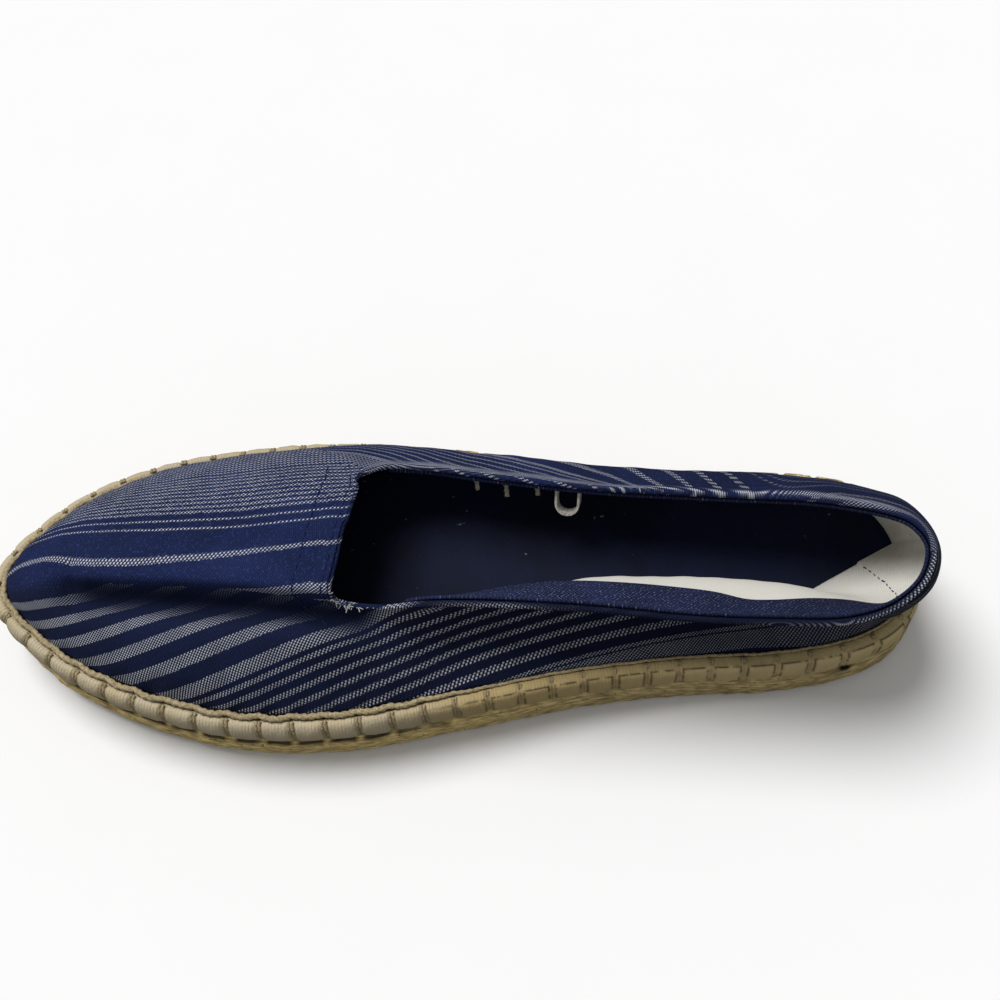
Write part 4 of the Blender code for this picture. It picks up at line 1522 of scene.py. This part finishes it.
class EspadrilleStitching(bpy.types.Operator):
    """Build the hem stitches, the seam of the lining, the frayed corner and the thread ends"""

    bl_idname = "espadrille.stitching"
    bl_label = "Stitching and threads"

    def execute(self, context):
        cloth = context.scene.espadrille_cloth
        navy = thread_material("navy_thread", cloth.navy)
        pale = thread_material("pale_thread", PALE_THREAD)
        jute = thread_material("cut_thread", CUT_THREAD)
        self.build_hem(cloth, navy)
        self.build_seam(cloth, navy)
        self.build_fray(pale)
        self.build_ends(jute)
        return {"FINISHED"}

    def build_hem(self, cloth, material):
        """Two rows of stitches along the throat, one near the edge and one about 10 mm in front of it."""
        turns = even_turns(cloth.columns)
        outer, heights = worn_canvas(turns, canvas_rows(cloth.rows), cloth)
        normals = grid_normals(outer)
        throat = np.flatnonzero((turns > -0.33) & (turns < 0.34))
        rows = []
        for drop in (0.0022, 0.0098):
            depths = {n: (heights[-1, n] - heights[:, n])[::-1] for n in throat}
            path = np.array([points_at(drop, depths[n], outer[::-1, n]) for n in throat])
            lift = unit(np.array([points_at(drop, depths[n], normals[::-1, n]) for n in throat]))
            rows.append(spaced(path, lift, 0.0031))
        arguments = (np.concatenate(part) for part in zip(*rows))
        mesh = copies_mesh("hem_stitches", dash_mesh(0.0022, 0.00017), *arguments, material, (0.9, 1.1), 0.1, 6)
        new_piece("hem_stitches", mesh, material)

    def build_seam(self, cloth, material):
        """Stitches of the seam that joins the lining at the heel, on its loose inner face."""
        lining = bpy.data.objects["cotton_lining"].data
        points = np.empty(len(lining.vertices) * 3)
        lining.vertices.foreach_get("co", points)
        points = points.reshape(-1, cloth.columns, 3)[::-1]
        rows = np.arange(4, 40)
        columns = np.rint((seam_turn(rows / 60) + 1.004) * cloth.columns / 2).astype(int)
        arguments = spaced(points[rows, columns], -grid_normals(points)[rows, columns], 0.0024)
        name = "lining_seam_stitches"
        mesh = copies_mesh(name, dash_mesh(0.0014, 0.00016), *arguments, material, (0.8, 1.1), 0.2, 7)
        new_piece(name, mesh, material)

    def build_fray(self, material):
        """Loose warp ends where the fold meets the outer corner of the throat."""
        random = np.random.default_rng(12)
        meshes = []
        share = np.linspace(0, 1, 6)[:, None]
        for _ in range(26):
            turn = random.uniform(0.05, 0.40)
            start = upper_surface(np.array([turn]), np.array([13.9]))[0, 0]
            along = unit(random.normal(size=3) * (0.5, 0.8, 0.3) + (0.9, -0.4, -0.2))
            along = along * random.uniform(0.0005, 0.0012)
            bend = random.normal(size=3) * 0.0003
            path = start + along * share + bend * share**2
            meshes.append(tube_mesh("end", path, random.uniform(0.00009, 0.00015), 5))
        new_piece("frayed_ends", join_meshes("frayed_ends", meshes), material)

    def build_ends(self, material):
        """Three cut ends of jute thread that hang below the tape on the medial side."""
        meshes = []
        share = np.linspace(0, 1, 10)[:, None]
        course = unit(np.array((0, -0.8, -0.45))) * share + np.array((0.04, 0, -0.25)) * share**2
        for turn, reach in ((-0.511, 0.0034), (-0.536, 0.0042), (-0.561, 0.0030)):
            near = np.array([turn - 0.01, turn, turn + 0.01])
            start = band_on_wall(near, UPPER_WALL + 0.0016, 0.0055, np.full(3, 0.006), 5)[0, 1]
            meshes.append(tube_mesh("end", start + course * reach, 0.00062, 9, 2, 0.003))
        new_piece("thread_ends", join_meshes("thread_ends", meshes), material)


# How much nearer to the heel than its CAD mesh the loop stands
LOOP_SHIFT = 0.0020

# Places of the lights, and the camera: its place and the directions of its right side and its top
KEY_PLACE = (-0.32, 0.30, 0.92)
FILL_PLACE = (0.35, -0.75, 0.65)
CAMERA_PLACE = (0.02494, -0.15913, 0.35482)
CAMERA_RIGHT = (0.99823, -0.03167, -0.05043)
CAMERA_UP = (0.05182, 0.87935, 0.47334)
FLOOR_REACH = 3.0


class EspadrilleLoop(bpy.types.Operator):
    """Build the cotton loop that ties the pair together"""

    bl_idname = "espadrille.loop"
    bl_label = "Pair loop"

    def execute(self, context):
        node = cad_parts["pair_loop"]
        mesh = node.data.copy()
        mesh.transform(Matrix.Translation((LOOP_SHIFT, 0.0, 0.0)) @ node.matrix_world)
        material = thread_material("loop_cotton", context.scene.espadrille_trim.loop)
        new_piece("cotton_loop", mesh, material, ["pair_loop"])
        return {"FINISHED"}


class EspadrilleStage(bpy.types.Operator):
    """Set the floor, the lights and the camera"""

    bl_idname = "espadrille.stage"
    bl_label = "Stage"

    def execute(self, context):
        stage = context.scene.espadrille_stage
        self.lay_floor(stage)
        self.hang_light("key", KEY_PLACE, 0.58, stage.key)
        self.hang_light("fill", FILL_PLACE, 0.9, stage.fill)
        world = bpy.data.worlds.new("studio")
        world.use_nodes = True
        sky = world.node_tree.nodes["Background"].inputs
        sky["Color"].default_value = (1.0, 1.0, 1.0, 1.0)
        seen = add_node(world.node_tree, "ShaderNodeLightPath").outputs["Is Camera Ray"]
        world.node_tree.links.new(remap(world.node_tree, seen, 0.0, 1.0, stage.sky, 1.0), sky["Strength"])
        context.scene.world = world
        context.scene.view_settings.view_transform = "Standard"
        self.set_camera(context, stage)
        return {"FINISHED"}

    def lay_floor(self, stage):
        corners = np.array([(-1, -1, 0), (1, -1, 0), (1, 1, 0), (-1, 1, 0)]) * FLOOR_REACH
        mesh = bpy.data.meshes.new("floor")
        mesh.from_pydata(corners.tolist(), [], [(0, 1, 2, 3)])
        mesh.materials.append(floor_material(stage))
        new_object("floor", mesh)

    def hang_light(self, name, position, size, power):
        light = bpy.data.lights.new(name, "SUN")
        light.angle = size
        light.energy = power
        lamp = new_object(name, light)
        lamp.location = position
        lamp.rotation_euler = (-Vector(position)).to_track_quat("-Z", "Y").to_euler()

    def set_camera(self, context, stage):
        right, up = Vector(CAMERA_RIGHT), Vector(CAMERA_UP)
        view = bpy.data.cameras.new("camera")
        view.lens = stage.lens
        view.sensor_width = 36.0
        view.clip_start = 0.01
        camera = new_object("camera", view)
        turn = Matrix((right, up, right.cross(up))).transposed().to_4x4()
        camera.matrix_world = Matrix.Translation(CAMERA_PLACE) @ turn
        context.scene.camera = camera


OPERATORS = (
    EspadrilleStage,
    EspadrilleCanvas,
    EspadrilleLining,
    EspadrilleTape,
    EspadrilleInsole,
    EspadrilleRand,
    EspadrilleSole,
    EspadrilleStitching,
    EspadrilleLoop,
)


class EspadrillePanel(bpy.types.Panel):
    """Sizes, colours and steps of the espadrille"""

    bl_idname = "VIEW3D_PT_espadrille"
    bl_label = "Espadrille"
    bl_space_type = "VIEW_3D"
    bl_region_type = "UI"
    bl_category = "Espadrille"

    def draw(self, context):
        for name, group in SETTINGS.items():
            box = self.layout.box()
            settings = getattr(context.scene, name)
            for field in group.__annotations__:
                box.prop(settings, field)
        for operator in OPERATORS:
            self.layout.operator(operator.bl_idname)


def register():
    for group in (*SETTINGS.values(), *OPERATORS, EspadrillePanel):
        bpy.utils.register_class(group)
    for name, group in SETTINGS.items():
        setattr(bpy.types.Scene, name, PointerProperty(type=group))


def unregister():
    for name in SETTINGS:
        delattr(bpy.types.Scene, name)
    for group in (EspadrillePanel, *OPERATORS[::-1], *SETTINGS.values()):
        bpy.utils.unregister_class(group)


NODE_TREES = (build_weave_group, build_stripe_group, build_fibre_group, build_soil_group, build_copies_tree)


def main():
    register()
    for build in NODE_TREES:
        build()
    bpy.ops.espadrille.stage()
    bpy.ops.espadrille.canvas()
    bpy.ops.espadrille.lining()
    bpy.ops.espadrille.tape()
    bpy.ops.espadrille.insole()
    bpy.ops.espadrille.rand()
    bpy.ops.espadrille.sole()
    bpy.ops.espadrille.stitching()
    bpy.ops.espadrille.loop()


if __name__ == "__main__":
    main()
